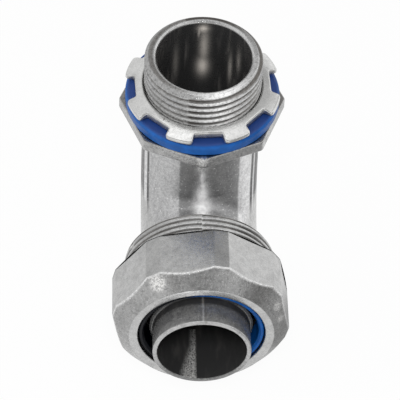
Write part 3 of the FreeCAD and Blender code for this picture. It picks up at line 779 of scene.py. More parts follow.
# Painted reflection across the front of the leg, the light and dark bands of the studio: (bearing
# from the front in degrees, level)
LEG_PAINTED_REFLECTION = (
    (-90, 0.30), (-79, 0.30), (-76, 0.22), (-74.5, 0.22), (-73, 1.00), (-66.5, 1.00),
    (-65.5, 0.06), (-62.5, 0.06), (-61.5, 0.66), (-22.5, 0.84), (-21.2, 0.44), (-9, 0.52),
    (2, 1.00), (9, 0.54), (12, 0.48), (30, 0.41), (39.8, 0.42), (41, 0.98), (59.5, 0.94),
    (60.8, 0.06), (64.5, 0.06), (65.5, 0.85), (68.5, 0.85), (69.5, 0.12), (75, 0.12), (77, 0.30),
    (90, 0.30),
)


def by_bearing(tree, where, steps, radius=0.0):
    """A grey level that follows the bearing from the front, as an output.

    With a radius the bearing is that of a point so far out, whatever its depth.
    """
    spot = place(tree, "ShaderNodeSeparateXYZ")
    tree.links.new(where, spot.inputs[0])
    if radius:
        bearing = number(tree, "ARCSINE", number(tree, "DIVIDE", spot.outputs["X"], radius))
    else:
        forward = number(tree, "MULTIPLY", spot.outputs["Y"], -1.0)
        bearing = number(tree, "ARCTAN2", spot.outputs["X"], forward)
    ramp = place(tree, "ShaderNodeValToRGB")
    tree.links.new(number(tree, "MULTIPLY_ADD", bearing, 0.5 / math.pi, 0.5), ramp.inputs[0])
    stops = ramp.color_ramp.elements
    while len(stops) < len(steps):
        stops.new(1.0)
    for stop, (degrees, level) in zip(stops, steps):
        stop.position = 0.5 + degrees / 360
        stop.color = (level, level, level, 1.0)
    return ramp.outputs[0]


# Colours of what lies on the metal; the dirt's colour is also that of painted shade, and the draw
# marks' that of painted highlights inside
DIRT_AND_SHADE = (0.082, 0.070, 0.059)
SOOT = (0.12, 0.12, 0.13)
DRAWN_LINE_AND_HIGHLIGHT = (0.95, 0.88, 0.80)
BARE_CRUMB = (0.95, 0.94, 0.92)


class MetalMarks:
    """The clouds and vertex values that a metal's colour, gloss and relief have in common."""

    def __init__(self, tree):
        self.where = place(tree, "ShaderNodeTexCoord").outputs["Object"]
        self.mottle = cloud(tree, self.where, 620.0, 4.0, 0.62)
        self.dents = cloud(tree, self.where, 1100.0, 4.0, 0.65)
        self.uneven = attribute(tree, "uneven")
        self.leg = attribute(tree, "leg")
        self.deep = attribute(tree, "inside")
        self.torn = attribute(tree, "torn")
        self.sheen = attribute(tree, "sheen")
        # The groove mark is dirt and painted shade in the threads, painted shade on the flange's
        # top and the gland nut's cone, and the locknut's stains
        self.dirt = smooth_step(tree, attribute(tree, "groove"), 0.4, 0.95, 0.0, 0.85)


def metal_skin(tree, marks, light, dark):
    """Colour outside: two tones in patches, with stains, painted glints, dents, and dirt and
    painted shade over them.
    """
    where = marks.where
    speck = cloud(tree, where, 1900.0, 3.0, 0.7)
    mixed = number(tree, "MULTIPLY_ADD", marks.mottle, 0.4, number(tree, "MULTIPLY", speck, 0.6))
    patch = smooth_step(tree, mixed, 0.36, 0.64, 0.0, 1.0)
    skin = blend(tree, patch, dark, light)
    stain = smooth_step(tree, cloud(tree, where, 190.0, 4.0, 0.6), 0.45, 0.66, 0.0, 0.22)
    skin = blend(tree, stain, skin, tuple(0.45 * c for c in dark))
    # Fine white specks are painted glints
    painted_glints = smooth_step(tree, cloud(tree, where, 2300.0, 1.0), 0.66, 0.73, 0.0, 0.8)
    skin = blend(tree, number(tree, "MULTIPLY", painted_glints, marks.uneven), skin, WHITE)
    sunk = smooth_step(tree, marks.dents, 0.34, 0.52, 0.5, 0.0)
    sunk = number(tree, "MULTIPLY", sunk, marks.uneven)
    skin = blend(tree, sunk, skin, tuple(0.35 * c for c in dark))
    # Dirt and painted shade darken the skin
    skin = blend(tree, marks.dirt, skin, DIRT_AND_SHADE)
    # The front of the leg has painted reflection bands instead, mottled darker and with painted
    # glints
    reflection_bands = by_bearing(tree, where, LEG_PAINTED_REFLECTION, LEG_RADIUS)
    soot = number(tree, "MULTIPLY", number(tree, "SUBTRACT", 1.0, patch), 0.42)
    reflection_bands = blend(tree, soot, reflection_bands, SOOT)
    reflection_bands = blend(tree, painted_glints, reflection_bands, WHITE)
    return blend(tree, marks.leg, skin, reflection_bands)


def drawn_lines_and_highlights(tree, marks, strength):
    """Draw marks of the core down the bores, with the painted highlights over them, as an output.
    """
    stretch = place(tree, "ShaderNodeMapping")
    stretch.inputs["Scale"].default_value = (430.0, 90.0, 40.0)
    tree.links.new(marks.where, stretch.inputs["Vector"])
    streaks_and_highlights = cloud(tree, stretch.outputs[0], 1.0, 3.0, 0.55)
    streaks_and_highlights = smooth_step(tree, streaks_and_highlights, 0.48, 0.80, 0.0, strength)
    return number(tree, "MAXIMUM", streaks_and_highlights, marks.sheen)


def painted_highlight_share(tree, marks):
    """Where the outside has painted highlights: not in dirt and painted shade, and less in dents,
    as an output.
    """
    worn = marks.sheen
    for spared in (marks.deep, marks.dirt):
        worn = number(tree, "MULTIPLY", worn, number(tree, "SUBTRACT", 1.0, spared))
    return number(tree, "MULTIPLY", worn, smooth_step(tree, marks.dents, 0.38, 0.56, 0.65, 1.0))


def metal_relief(tree, marks, grain_depth):
    """Swells, mottles, pits, dents where the skin is uneven and a fine grain, as an output."""
    where = marks.where
    normal = bump(tree, cloud(tree, where, 120.0, 2.0), 0.12, 0.0003)
    normal = bump(tree, marks.mottle, 0.12, 0.00006, normal)
    pits = smooth_step(tree, cloud(tree, where, 1500.0, 1.0), 0.26, 0.36, 0.0, 1.0)
    normal = bump(tree, pits, 0.4, 0.00004, normal)
    dents = number(tree, "MULTIPLY", marks.dents, marks.uneven)
    normal = bump(tree, dents, 0.8, 0.00022, normal)
    coarse = number(tree, "MULTIPLY_ADD", marks.uneven, 3.0, 1.0)
    grain = number(tree, "MULTIPLY", cloud(tree, where, 2400.0, 2.0), coarse)
    return bump(tree, grain, 0.5, grain_depth, normal)


def metal(name, colours, tone, smooth, rough, grain_depth, streaks, bore_share=1.0, crumbs=0.3,
          oxide=0.0):
    """Die-cast metal: a mottled, lightly pitted skin that is duller inside, and painted darker
    there as shade.
    """
    material, tree, surface = shader(name)
    marks = MetalMarks(tree)
    light, dark = (tuple(getattr(colours, tone + end)) for end in ("_light", "_dark"))
    skin = metal_skin(tree, marks, light, dark)
    streaks_and_highlights = drawn_lines_and_highlights(tree, marks, streaks)
    # Inside, the skin is painted darker as shade, with the draw marks and painted highlights over
    # it
    inside = blend(tree, streaks_and_highlights, tuple(bore_share * c for c in colours.bore), DRAWN_LINE_AND_HIGHLIGHT)
    skin = blend(tree, marks.deep, skin, inside)
    # Painted highlights turn the outside white
    worn = painted_highlight_share(tree, marks)
    skin = blend(tree, worn, skin, WHITE)
    crust = cloud(tree, marks.where, 2200.0, 4.0, 0.75)
    crust = smooth_step(tree, crust, 0.40, 0.56, 0.0, 1.0)
    skin = blend(tree, marks.torn, skin, blend(tree, crust, (crumbs,) * 3, BARE_CRUMB))
    tree.links.new(skin, surface.inputs["Base Color"])
    # Bores, torn patches, painted highlights and oxide reflect less like bare metal
    dull = number(tree, "MULTIPLY", number(tree, "MULTIPLY_ADD", streaks_and_highlights, 0.75, 0.25), marks.deep)
    for mark, share_of in ((marks.torn, 0.85), (worn, 0.9)):
        dull = number(tree, "MAXIMUM", dull, number(tree, "MULTIPLY", mark, share_of))
    dull = number(tree, "MAXIMUM", dull, oxide)
    tree.links.new(number(tree, "SUBTRACT", 1.0, dull), surface.inputs["Metallic"])
    matt = smooth_step(tree, marks.mottle, 0.3, 0.7, rough, smooth)
    for mark, more in ((marks.torn, 0.2), (marks.deep, 0.12), (marks.uneven, 0.04)):
        matt = number(tree, "MULTIPLY_ADD", mark, more, matt)
    matt = number(tree, "MAXIMUM", matt, number(tree, "MULTIPLY", marks.leg, 0.40))
    tree.links.new(matt, surface.inputs["Roughness"])
    tree.links.new(metal_relief(tree, marks, grain_depth), surface.inputs["Normal"])
    return material


# The sealing ring's top face, painted a deeper blue as shade under the locknut, starts over these
# heights
RING_TOP_SHADE = (0.0031, 0.0036)
SHADE_BLUE = (0.018, 0.050, 0.20)
# The gland ring's dark left side fades out between these places across
RING_SHADE = (-0.006, 0.003)


def plastic(name, tint, shaded):
    """Moulded nylon: a smooth, slightly uneven blue skin, dark on its left side if shaded."""
    material, tree, surface = shader(name)
    where = place(tree, "ShaderNodeTexCoord").outputs["Object"]
    mottle = cloud(tree, where, 240.0, 3.0)
    darker = tuple(0.72 * c for c in tint)
    skin = blend(tree, smooth_step(tree, mottle, 0.3, 0.7, 0.0, 1.0), darker, tint)
    spot = place(tree, "ShaderNodeSeparateXYZ")
    tree.links.new(where, spot.inputs[0])
    # The top face is painted a deeper blue as shade
    top = smooth_step(tree, spot.outputs["Z"], *RING_TOP_SHADE, 0.0, 1.0)
    skin = blend(tree, top, skin, SHADE_BLUE)
    if shaded:
        left = smooth_step(tree, spot.outputs["X"], *RING_SHADE, 0.99, 0.0)
        skin = blend(tree, left, skin, (0.0, 0.0, 0.0))
    surface.inputs["Specular IOR Level"].default_value = 0.2 if shaded else 0.35
    tree.links.new(skin, surface.inputs["Base Color"])
    tree.links.new(smooth_step(tree, mottle, 0.3, 0.7, 0.34, 0.46), surface.inputs["Roughness"])
    normal = bump(tree, mottle, 0.15, 0.0002)
    normal = bump(tree, cloud(tree, where, 2600.0, 2.0), 0.2, 0.00001, normal)
    tree.links.new(normal, surface.inputs["Normal"])
    return material


# Each metal finish: tone names its pair of colours, then come its roughness at best and at
# worst, the depth of its grain and the strength of the draw marks in its bore. The ferrule's tube
# also has a bore painted darker still as shade, darker crumbs, and is oxidised.
METALS = {
    "cast": dict(tone="cast", smooth=0.13, rough=0.24, grain_depth=0.000006, streaks=0.35),
    "nut": dict(tone="cast", smooth=0.20, rough=0.30, grain_depth=0.000008, streaks=0.2),
    "bright": dict(tone="nut", smooth=0.18, rough=0.28, grain_depth=0.000003, streaks=0.2),
    "tube": dict(tone="tube", smooth=0.16, rough=0.28, grain_depth=0.000006, streaks=0.06,
                 bore_share=0.4, crumbs=0.08, oxide=0.55),
}


def finish(kind):
    """The material of one finish, made the first time that it is asked for."""
    name = "finish_" + kind
    if name in bpy.data.materials:
        return bpy.data.materials[name]
    colours = bpy.context.scene.connector_finish
    if kind in METALS:
        return metal(name, colours, **METALS[kind])
    return plastic(name, tuple(colours.blue), kind == "shaded_blue")


# Length of the finely meshed stretch of the bore under the mouth's bevel
FINE_BORE = 0.002
# Rings of points round the outside and the inside of the bend
OUTER_RINGS, INNER_RINGS = 26, 14
# Distance from the hub's axis that is just outside its thread
HUB_FOOT = 0.0172
# Heights: just under the flange, top of the leg's painted highlights, well under the flange,
# lower end of the leg's painted reflection bands, and lowest crests of the barrel with painted
# highlights
UNDER_FLANGE = -0.0038
HIGHLIGHTS_TOP = -0.006
LOW = -0.01
PAINTED_BANDS_LOW = -0.0345
CRESTS_LOW = -0.035
# Places along the gland where its axis takes over from the hub's, and where the painted highlights
# of the leg and the leg itself end
GLAND_FROM = -0.0205
HIGHLIGHTS_END = -0.0225
LEG_END = -0.0236
# Heights between which the sealing ring hides the casting
UNDER_SEAL = (-0.0002, 0.0022)


def elbow_path(sizes):
    """The elbow's section in three stretches of (radius, station) pairs.

    The stations of hub and leg are heights above the flange face. Those of the barrel count
    along the gland, from the hub's axis.
    """
    top = cad_high.z
    thread_step = 0.00019
    hub = rounded_path([
        (sizes.bore_radius, top - sizes.mouth_bevel - FINE_BORE, 0.0, 0.001),
        (sizes.bore_radius, top - sizes.mouth_bevel, EDGE_ROUND, 0.0004),
        (sizes.bore_radius + sizes.mouth_bevel, top, EDGE_ROUND, 0.0005),
        (sizes.hub_radius - sizes.hub_tip_bevel, top, 0.00025, thread_step),
        (sizes.hub_radius, top - sizes.hub_tip_bevel, 0.00015, thread_step),
        (sizes.hub_radius, 0.0, 0.0, 0.001),
    ], closed=False)
    leg = rounded_path([
        (sizes.leg_top_radius + sizes.leg_root_round * 1.6, -sizes.flange_thickness, 0.0, 0.001),
        (sizes.leg_top_radius, -sizes.flange_thickness, sizes.leg_root_round, 0.0007),
        (sizes.leg_low_radius, sizes.bend_radius - GLAND_DROP, 0.0, 0.001),
    ], closed=False)
    start = sizes.bend_radius + 0.0002
    thread_step = 0.00017
    lip = 0.0005
    back, mouth, bevel = sizes.barrel_back, sizes.barrel_mouth, sizes.barrel_bevel
    barrel = rounded_path([
        (sizes.leg_low_radius, start, 0.0, 0.0006),
        (sizes.leg_low_radius, back, sizes.shoulder_round, 0.0005),
        (sizes.barrel_radius - bevel, back, EDGE_ROUND, thread_step),
        (sizes.barrel_radius, back + bevel, EDGE_ROUND, thread_step),
        (sizes.barrel_radius, mouth - bevel, EDGE_ROUND, thread_step),
        (sizes.barrel_radius - bevel, mouth, EDGE_ROUND, 0.001),
        (sizes.socket_radius + lip, mouth, EDGE_ROUND, 0.001),
        (sizes.socket_radius, mouth - lip, EDGE_ROUND, 0.002),
        (sizes.socket_radius, sizes.socket_floor, 0.0003, 0.001),
        (sizes.bore_radius, sizes.socket_floor, 0.0003, 0.002),
        (sizes.bore_radius, start, 0.0, 0.002),
    ], closed=False)
    return hub, leg, barrel


def flange_steps(sizes, edge, foot):
    """Radius and height of each row over the flange, from the hub out and round to the leg.

    The edge is the octagon's own radius at each angle.
    """
    reach, low = sizes.flange_edge_round, -sizes.flange_thickness
    flat = edge - reach
    quarter = [math.radians(90 * k / 4) for k in range(5)]
    face = [(sizes.hub_radius + (flat - sizes.hub_radius) * k / 6, 0.0) for k in range(1, 7)]
    upper = [(flat + reach * math.sin(a), reach * (math.cos(a) - 1)) for a in quarter[1:]]
    side = [(edge, -reach + (low + 2 * reach) * k / 6) for k in range(1, 6)]
    lower = [(flat + reach * math.cos(a), low + reach * (1 - math.sin(a))) for a in quarter]
    under = [(flat + (foot - edge + reach) * k / 6, low) for k in range(1, 6)]
    return face + upper + side + lower + under


def elbow_points(sizes, angles):
    """Rows of points over the whole elbow, outside and inside, and the marks of each row."""
    hub, leg, barrel = elbow_path(sizes)
    upright = (angles, np.zeros(3), RIGHT, FRONT, UP)
    edge = polygon_radius(angles - math.pi / 2, sizes.flange_radius, sizes.flange_corner_round)
    ring = np.cos(angles)[:, None] * RIGHT + np.sin(angles)[:, None] * FRONT
    flange = [np.broadcast_to(radius, angles.shape)[:, None] * ring + UP * height
              for radius, height in flange_steps(sizes, edge, leg[0][0])]
    bend_height = sizes.bend_radius - GLAND_DROP
    pivot = FRONT * sizes.bend_radius + UP * bend_height

    def bent(radius, share_of_turn):
        """One ring of the bend."""
        a = math.radians(90 * share_of_turn)
        toward_pivot = FRONT * math.cos(a) + UP * math.sin(a)
        centre = pivot - toward_pivot * sizes.bend_radius
        around = np.cos(angles)[:, None] * RIGHT + np.sin(angles)[:, None] * toward_pivot
        return centre + radius * around

    outer_bend = [bent(sizes.leg_low_radius, (k + 1) / OUTER_RINGS) for k in range(OUTER_RINGS)]
    inner_bend = [bent(sizes.bore_radius, 1 - k / INNER_RINGS) for k in range(INNER_RINGS + 1)]
    heights = np.linspace(bend_height, cad_high.z - sizes.mouth_bevel - FINE_BORE, 38)[1:-1]
    bore = np.array([(sizes.bore_radius, z) for z in heights])
    gland = UP * (bend_height - sizes.bend_radius)

    # Which rows of the hub and the barrel lie on a thread or inside
    on_hub = hub[:, 0] > sizes.bore_radius + sizes.mouth_bevel + 4 * SLACK
    on_hub[-1] = False
    in_hub = hub[:, 0] < sizes.bore_radius + SLACK
    past_mouth = np.arange(len(barrel)) > np.argmax(barrel[:, 1])
    in_socket = past_mouth & (barrel[:, 0] < sizes.socket_radius + 2 * SLACK)

    # Each stretch of rows, with its marks for the hub's thread and the inside, which is painted
    # darker as shade
    stretches = (
        (turned(hub, *upright), on_hub, in_hub),
        (flange, False, False),
        (turned(leg, *upright), False, False),
        (outer_bend, False, False),
        (turned(barrel, angles, gland, RIGHT, UP, FRONT), False, in_socket),
        (inner_bend, False, True),
        (turned(bore, *upright), False, True),
    )
    points = np.concatenate([np.array(rows) for rows, _, _ in stretches])
    shape = points.shape[:2]
    marks = {}
    for column, mark in ((1, "hub_thread"), (2, "inside")):
        values = [np.broadcast_to(s[column], len(s[0])) for s in stretches]
        marks[mark] = np.broadcast_to(np.concatenate(values).astype(float)[:, None], shape)

    # The barrel's thread covers its whole outside, both bevels too
    station = -points[..., 1]
    across = np.hypot(points[..., 0], points[..., 2] - gland[2])
    outside = across > sizes.barrel_radius - sizes.barrel_bevel - SLACK
    along = (station > sizes.barrel_back - SLACK / 2) & (station < sizes.barrel_mouth + SLACK)
    marks["barrel_thread"] = (outside & along & (points[..., 2] < LOW)).astype(float)
    return points, marks


# Places where the castings are torn, chipped or crusted:
# (middle, reach, lift, unevenness, grain)
CASTING_SPOTS = (
    ((-0.0003, -0.0236, -0.0012), 0.0019, -0.00010, 0.00030, 0.0006),
    ((0.0184, -0.0131, -0.0012), 0.0013, -0.00030, 0.00030, 0.0007),
    ((-0.0052, -0.0157, -0.0090), 0.0009, 0.00006, 0.00014, 0.0004),
    ((0.0040, -0.0160, -0.0085), 0.0010, 0.00004, 0.00012, 0.0004),
    ((-0.0002, -0.0166, -0.0118), 0.0014, 0.00008, 0.00016, 0.0005),
    ((-0.0198, -0.0262, -0.0344), 0.0012, -0.00025, 0.00020, 0.0005),
)
NUT_SPOTS = (
    ((-0.0128, -0.0487, -0.0236), 0.0030, 0.00000, 0.00034, 0.0007),
    ((0.0212, -0.0489, -0.0335), 0.0018, -0.00016, 0.00022, 0.0008),
    ((0.0224, -0.0494, -0.0385), 0.0016, -0.00014, 0.00020, 0.0007),
)


# Painted highlights on the back wall of the hub's bore:
# (place across, height, half width, half height, strength)
BORE_PAINTED_HIGHLIGHTS = (
    (0.0004, -0.0006, 0.0019, 0.0042, 1.0),
    (0.0006, 0.0070, 0.0015, 0.0085, 0.70),
    (0.0002, 0.0146, 0.0017, 0.0015, 1.0),
    (-0.0010, 0.0132, 0.0004, 0.0026, 0.7),
    (0.0082, 0.0010, 0.0006, 0.0060, 0.6),
    (0.0104, 0.0060, 0.0006, 0.0050, 0.45),
    (-0.0075, 0.0030, 0.0009, 0.0070, 0.35),
)


# The same on the front of the leg
LEG_PAINTED_HIGHLIGHTS = (
    (0.0005, -0.0266, 0.0026, 0.0036, 1.0),
    (0.0004, -0.0228, 0.0016, 0.0034, 1.0),
    (0.0005, -0.0188, 0.0009, 0.0012, 1.0),
    (0.0001, -0.0150, 0.0006, 0.0032, 0.7),
)


def painted_highlights_at(points, marks):
    """The strongest of the painted highlights at each point."""
    sheen = np.zeros(points.shape[:2])
    for across, height, half_width, half_height, strength in marks:
        x = (points[..., 0] - across) / half_width
        z = (points[..., 2] - height) / half_height
        sheen = np.maximum(sheen, strength * np.exp(-x ** 2 - z ** 2))
    return sheen


def crest_painted_highlights(points, marks):
    """How strong the painted highlights on the crests at the front of both threads are."""
    x, y, z = points[..., 0], points[..., 1], points[..., 2]
    hub = bell(x, 0.0045, 0.0075) * marks["hub_thread"] * (y < 0)
    barrel = bell(x, 0.0, 0.0075) * marks["barrel_thread"] * (z > CRESTS_LOW)
    return hub + 0.6 * barrel


def wall_painted_highlights(points, inside):
    """How strong the painted highlights are at each point of the bore's back wall and the leg's
    front.
    """
    y, z = points[..., 1], points[..., 2]
    back = painted_highlights_at(points, BORE_PAINTED_HIGHLIGHTS) * inside * (y > 0)
    front = (y < 0) & (y > HIGHLIGHTS_END) & (z < HIGHLIGHTS_TOP)
    return back + painted_highlights_at(points, LEG_PAINTED_HIGHLIGHTS) * (1 - inside) * front


def elbow_axis(point):
    """The point of the elbow's own axis that lies beside a point."""
    if point[1] < GLAND_FROM:
        return gland_axis(point)
    return np.array((0.0, 0.0, point[2]))


def gland_axis(point):
    """The point of the gland's axis that lies beside a point."""
    return np.array((0.0, point[1], -GLAND_DROP))


def part_line(points, outside, height, width, centre_line):
    """Raise a thin line along the plane where the two halves of the die met."""
    lift = height * bell(points[..., 0], 0.0, width) * outside
    for row, column in zip(*np.nonzero(lift > height * 0.02)):
        point = points[row, column]
        points[row, column] = point + straight_out(point, centre_line) * lift[row, column]


def leg_front(points, inside):
    """How far each point lies on the front of the leg, where its reflection bands are painted,
    from 0 to 1.
    """
    y, z = points[..., 1], points[..., 2]
    under_flange = fade(z, UNDER_FLANGE, -0.0006)
    behind_barrel = fade(y, LEG_END, 0.0006)
    above_bend = fade(z, PAINTED_BANDS_LOW, 0.003)
    in_front = fade(y, -0.0005, -0.002)
    return under_flange * behind_barrel * above_bend * in_front * (1 - inside)


def casting_unevenness(points, marks):
    """How rough the casting's skin is at each point, from 0 to 1."""
    x, z = points[..., 0], points[..., 2]
    out = np.hypot(x, points[..., 1])
    sides = 0.5 * fade(x, -0.0035, -0.002) + 0.4 * fade(x, 0.007, 0.004)
    uneven = np.full(points.shape[:2], 0.35)
    # Leg, barrel, flange, end of the hub and its thread, each over the ones before
    for where, level in (
        (marks["leg"] > 0, 0.1),
        (marks["barrel_thread"] > 0, 0.4),
        ((z > UNDER_FLANGE) & (out > HUB_FOOT), 0.75),
        (z > cad_high.z - 0.0006, 0.6),
        (marks["hub_thread"] > 0, 0.5 + sides),
    ):
        uneven = np.where(where, level, uneven)
    return uneven * (1 - marks["inside"])


def paint_casting(points, marks, sizes):
    """Mark where the casting gets painted highlights and painted reflection bands, how uneven it
    is, and where it is painted darker as shade.
    """
    height = points[..., 2]
    out = np.hypot(points[..., 0], points[..., 1])
    # The bevel inside the hub's mouth gets a faint painted highlight
    bevel = (out < sizes.bore_radius + sizes.mouth_bevel) & (out > sizes.bore_radius + SLACK)
    bevel = bevel & (height > cad_high.z - sizes.mouth_bevel)
    sheen = wall_painted_highlights(points, marks["inside"]) + crest_painted_highlights(points, marks)
    marks["sheen"] = np.maximum(sheen, 0.3 * bevel)
    marks["leg"] = leg_front(points, marks["inside"])
    marks["uneven"] = casting_unevenness(points, marks)
    # The flange's top face is painted darker as shade
    marks["groove"] = 0.72 * ((np.abs(height) < SLACK) & (out > HUB_FOOT))


class CONNECTOR_OT_elbow_body(bpy.types.Operator):
    """Build the elbow casting with both male threads"""

    bl_idname = "connector.elbow_body"
    bl_label = "Elbow casting"

    def execute(self, context):
        sizes = context.scene.connector_casting
        thread = context.scene.connector_thread
        angles = crowded_angles(count=224, turn=math.pi / 2, crowding=0.62)
        points, marks = elbow_points(sizes, angles)
        marks["torn"] = 0.6 * lumpy(points, CASTING_SPOTS, elbow_axis)
        paint_casting(points, marks, sizes)
        # The die's parting line, but not where the sealing ring lies
        outside = (1 - marks["inside"]) * (1 - marks["hub_thread"])
        clear = (points[..., 2] < UNDER_SEAL[0]) | (points[..., 2] > UNDER_SEAL[1])
        part_line(points, outside * clear, sizes.parting_height, sizes.parting_width, elbow_axis)
        mesh = grid_mesh("elbow_casting", points, marks)
        outward(mesh)
        thing = add_object("elbow_casting", mesh)
        tree = screw_tree()
        flanks = {"Root share": thread.root_share, "Crest share": thread.crest_share,
                  "Material": finish("cast")}
        cut_thread(thing, tree, "hub", {
            "Mark": "hub_thread", "Crest radius": sizes.hub_radius, "Depth": thread.hub_depth,
            "Mismatch": thread.mismatch, "Parting place": -0.0046, "Wear": 0.28, "Dirt": 1.0,
            "Cleaner left": 0.25, **flanks,
        })
        cut_thread(thing, tree, "barrel", {
            "Mark": "barrel_thread", "Crest radius": sizes.barrel_radius,
            "Depth": thread.barrel_depth, "Mismatch": 2 * thread.mismatch,
            "Parting place": 0.0001, "Wear": 0.3, "Dirt": 0.82, "Cleaner left": 0.0, **flanks,
        })
        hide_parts("elbow_body")
        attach(thing, "fitting")
        return {"FINISHED"}


def lug_outline(sizes):
    """Half a notch, one lug and half a notch along their outside, as points in the plane."""
    half = SECTOR / 2
    floor, rim = sizes.notch_radius, sizes.lug_radius
    slope = sizes.notch_spread / 2 / (rim - floor)
    width = sizes.notch_width / 2
    lug_out = math.sqrt(rim ** 2 - (width + slope * (rim - floor)) ** 2)
    lug_across = width + slope * (lug_out - floor)

    def in_notch(across, out, side):
        """A point given across and out along the middle line of the notch at one side."""
        a = math.pi / 2 + side * half
        along = np.array((math.cos(a), math.sin(a)))
        over = np.array((math.sin(a), -math.cos(a)))
        return along * out + over * across * side

    def side_corners(side):
        """Notch middle, notch corner and lug corner at one side of the lug."""
        return (in_notch(0.0, floor, side), in_notch(width, floor, side),
                in_notch(lug_across, lug_out, side))

    left, right = side_corners(1), side_corners(-1)
    first = math.atan2(left[2][1], left[2][0])
    last = math.atan2(right[2][1], right[2][0])
    arc = [np.array((math.cos(a), math.sin(a))) * rim
           for a in np.linspace(first, last, 15)[2:-2]]
    corners = [(*left[0], 0.0, 0.0007), (*left[1], sizes.notch_round, 0.0005),
               (*left[2], sizes.lug_round, 0.001)]
    corners += [(*p, 0.0, 0.001) for p in arc]
    corners += [(*right[2], sizes.lug_round, 0.0005), (*right[1], sizes.notch_round, 0.0007),
                (*right[0], 0.0, 0.001)]
    return rounded_path(corners, closed=False)


# Bevels of the locknut: its crown round the bore, under its lugs, its foot and its bore
CROWN_BEVEL = 0.0005
LUG_BEVEL = 0.00015
FOOT_BEVEL = 0.00012
BORE_BEVEL = 0.0003


def lug_directions(outline):
    """The way inward from each point of the outline, and the way from the axis towards it."""
    ends = (math.pi / 2 + SECTOR / 2, math.pi / 2 - SECTOR / 2)
    tangent = np.gradient(outline, axis=0)
    for k, a in zip((0, -1), ends):
        tangent[k] = (math.sin(a), -math.cos(a))
    tangent = tangent / np.linalg.norm(tangent, axis=1)[:, None]
    inward = np.stack([tangent[:, 1], -tangent[:, 0]], axis=1)
    angle = np.linspace(ends[0], ends[1], len(outline))
    bearing = 0.5 * angle + 0.5 * np.arctan2(outline[:, 1], outline[:, 0])
    return inward, np.stack([np.cos(bearing), np.sin(bearing)], axis=1)


def lug_section(sizes, bore):
    """One lug with half a notch each side, as closed sections set along the outline."""
    outline = lug_outline(sizes)
    inward, circle = lug_directions(outline)
    rows = []

    def add(flat_points, height):
        """Add one row at the given heights."""
        rows.append(np.column_stack([flat_points, np.broadcast_to(height, len(flat_points))]))

    def top(flat_points):
        """Height of the upper skin over points in the plane."""
        out = np.linalg.norm(flat_points, axis=1)
        out = fade(out - bore, CROWN_BEVEL, sizes.lug_radius - bore - CROWN_BEVEL)
        return sizes.crown_height + (sizes.lug_top - sizes.crown_height) * out ** sizes.droop

    # Over the crown and round the upper edge
    round_off = sizes.edge_round
    shoulder = outline + inward * round_off
    start = circle * (bore + CROWN_BEVEL)
    for k in range(0, 19):
        flat = start + (shoulder - start) * k / 18
        add(flat, top(flat))
    edge_height = top(shoulder)
    for k in range(1, 5):
        a = math.radians(90 * k / 4)
        add(outline + inward * round_off * (1 - math.sin(a)),
            edge_height - round_off * (1 - math.cos(a)))

    # Down the outside, which is painted dark as shade, and under the lugs to the collar and its
    # foot
    side_from = len(rows) - 1
    low = sizes.plate_gap
    lip = edge_height - round_off
    for k in range(1, 4):
        add(outline, lip + (low + LUG_BEVEL - lip) * k / 3)
    skirt = outline + inward * LUG_BEVEL
    add(skirt, low)
    side_to = len(rows)
    foot = bore + sizes.collar_width
    neck = circle * (foot + sizes.plate_gap)
    for k in range(1, 5):
        add(skirt + (neck - skirt) * k / 4, low)
    add(circle * foot, FOOT_BEVEL)
    add(circle * (foot - FOOT_BEVEL), 0.0)

    # Up the bore and round its end
    add(circle * (bore + BORE_BEVEL), 0.0)
    add(circle * bore, BORE_BEVEL)
    wall = sizes.crown_height - 0.0008
    for k in range(1, 17):
        add(circle * bore, BORE_BEVEL + (wall - BORE_BEVEL) * k / 16)
    add(circle * (bore + 0.0001), sizes.crown_height - 0.00045)
    add(circle * (bore + 0.00025), sizes.crown_height - 0.00018)

    points = np.array(rows)
    radius = np.hypot(points[..., 0], points[..., 1])
    in_bore = (radius < bore + TIGHT).astype(float)
    side = np.zeros(len(rows))
    side[side_from:side_to] = 0.55
    # The lugs' outer sides and the bore are painted darker as shade
    dark = side[:, None] * (radius < sizes.lug_radius - 0.0006)
    dark = np.maximum(dark, in_bore * 0.6)
    return points, {"thread": in_bore, "inside": dark, "uneven": np.full_like(in_bore, 0.08)}


# Brown stains on the locknut's crown: (middle, reach)
STAINS = (
    ((-0.0112, -0.0143, 0.0066), 0.0007),
    ((-0.0100, -0.0152, 0.0066), 0.0005),
    ((0.0150, -0.0112, 0.0066), 0.0004),
)


class CONNECTOR_OT_locknut(bpy.types.Operator):
    """Build the locknut from one lug, repeated round the hub"""

    bl_idname = "connector.locknut"
    bl_label = "Locknut"

    def execute(self, context):
        sizes = context.scene.connector_locknut
        casting = context.scene.connector_casting
        bore = casting.hub_radius + context.scene.connector_thread.clearance
        points, marks = lug_section(sizes, bore)
        points[..., 2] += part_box("locknut")[0].z
        mesh = grid_mesh("locknut_lugs", points, marks, wrap=False)
        thing = add_object("locknut_lugs", mesh)
        shape_with(thing, lug_tree(), {
            "Count": SIDES, "Turn": sizes.turn + SECTOR / 2, "Merge distance": 0.000002,
            "Material": finish("bright"),
        })
        cut_nut_thread(thing, "hub", bore, "bright")
        outward(thing.data)
        for vertex, mark in zip(thing.data.vertices, thing.data.attributes["groove"].data):
            for middle, reach in STAINS:
                near = 1 - (vertex.co - Vector(middle)).length / reach
                mark.value = max(mark.value, min(0.9, 1.6 * near))
        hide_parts("locknut")
        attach(thing, "lock")
        return {"FINISHED"}


# Round at the back of the nut's blank, and the length of the stretch that keeps it
BLANK_ROUND = 0.0003
NUT_BACK = 0.0014
# How far behind the front the corner of the blank lies, and the worn face reaches
FACE_DEPTH = 0.0003
# The torn patch of the cone that lies left of this is the roughest
TORN_LEFT = -0.0107


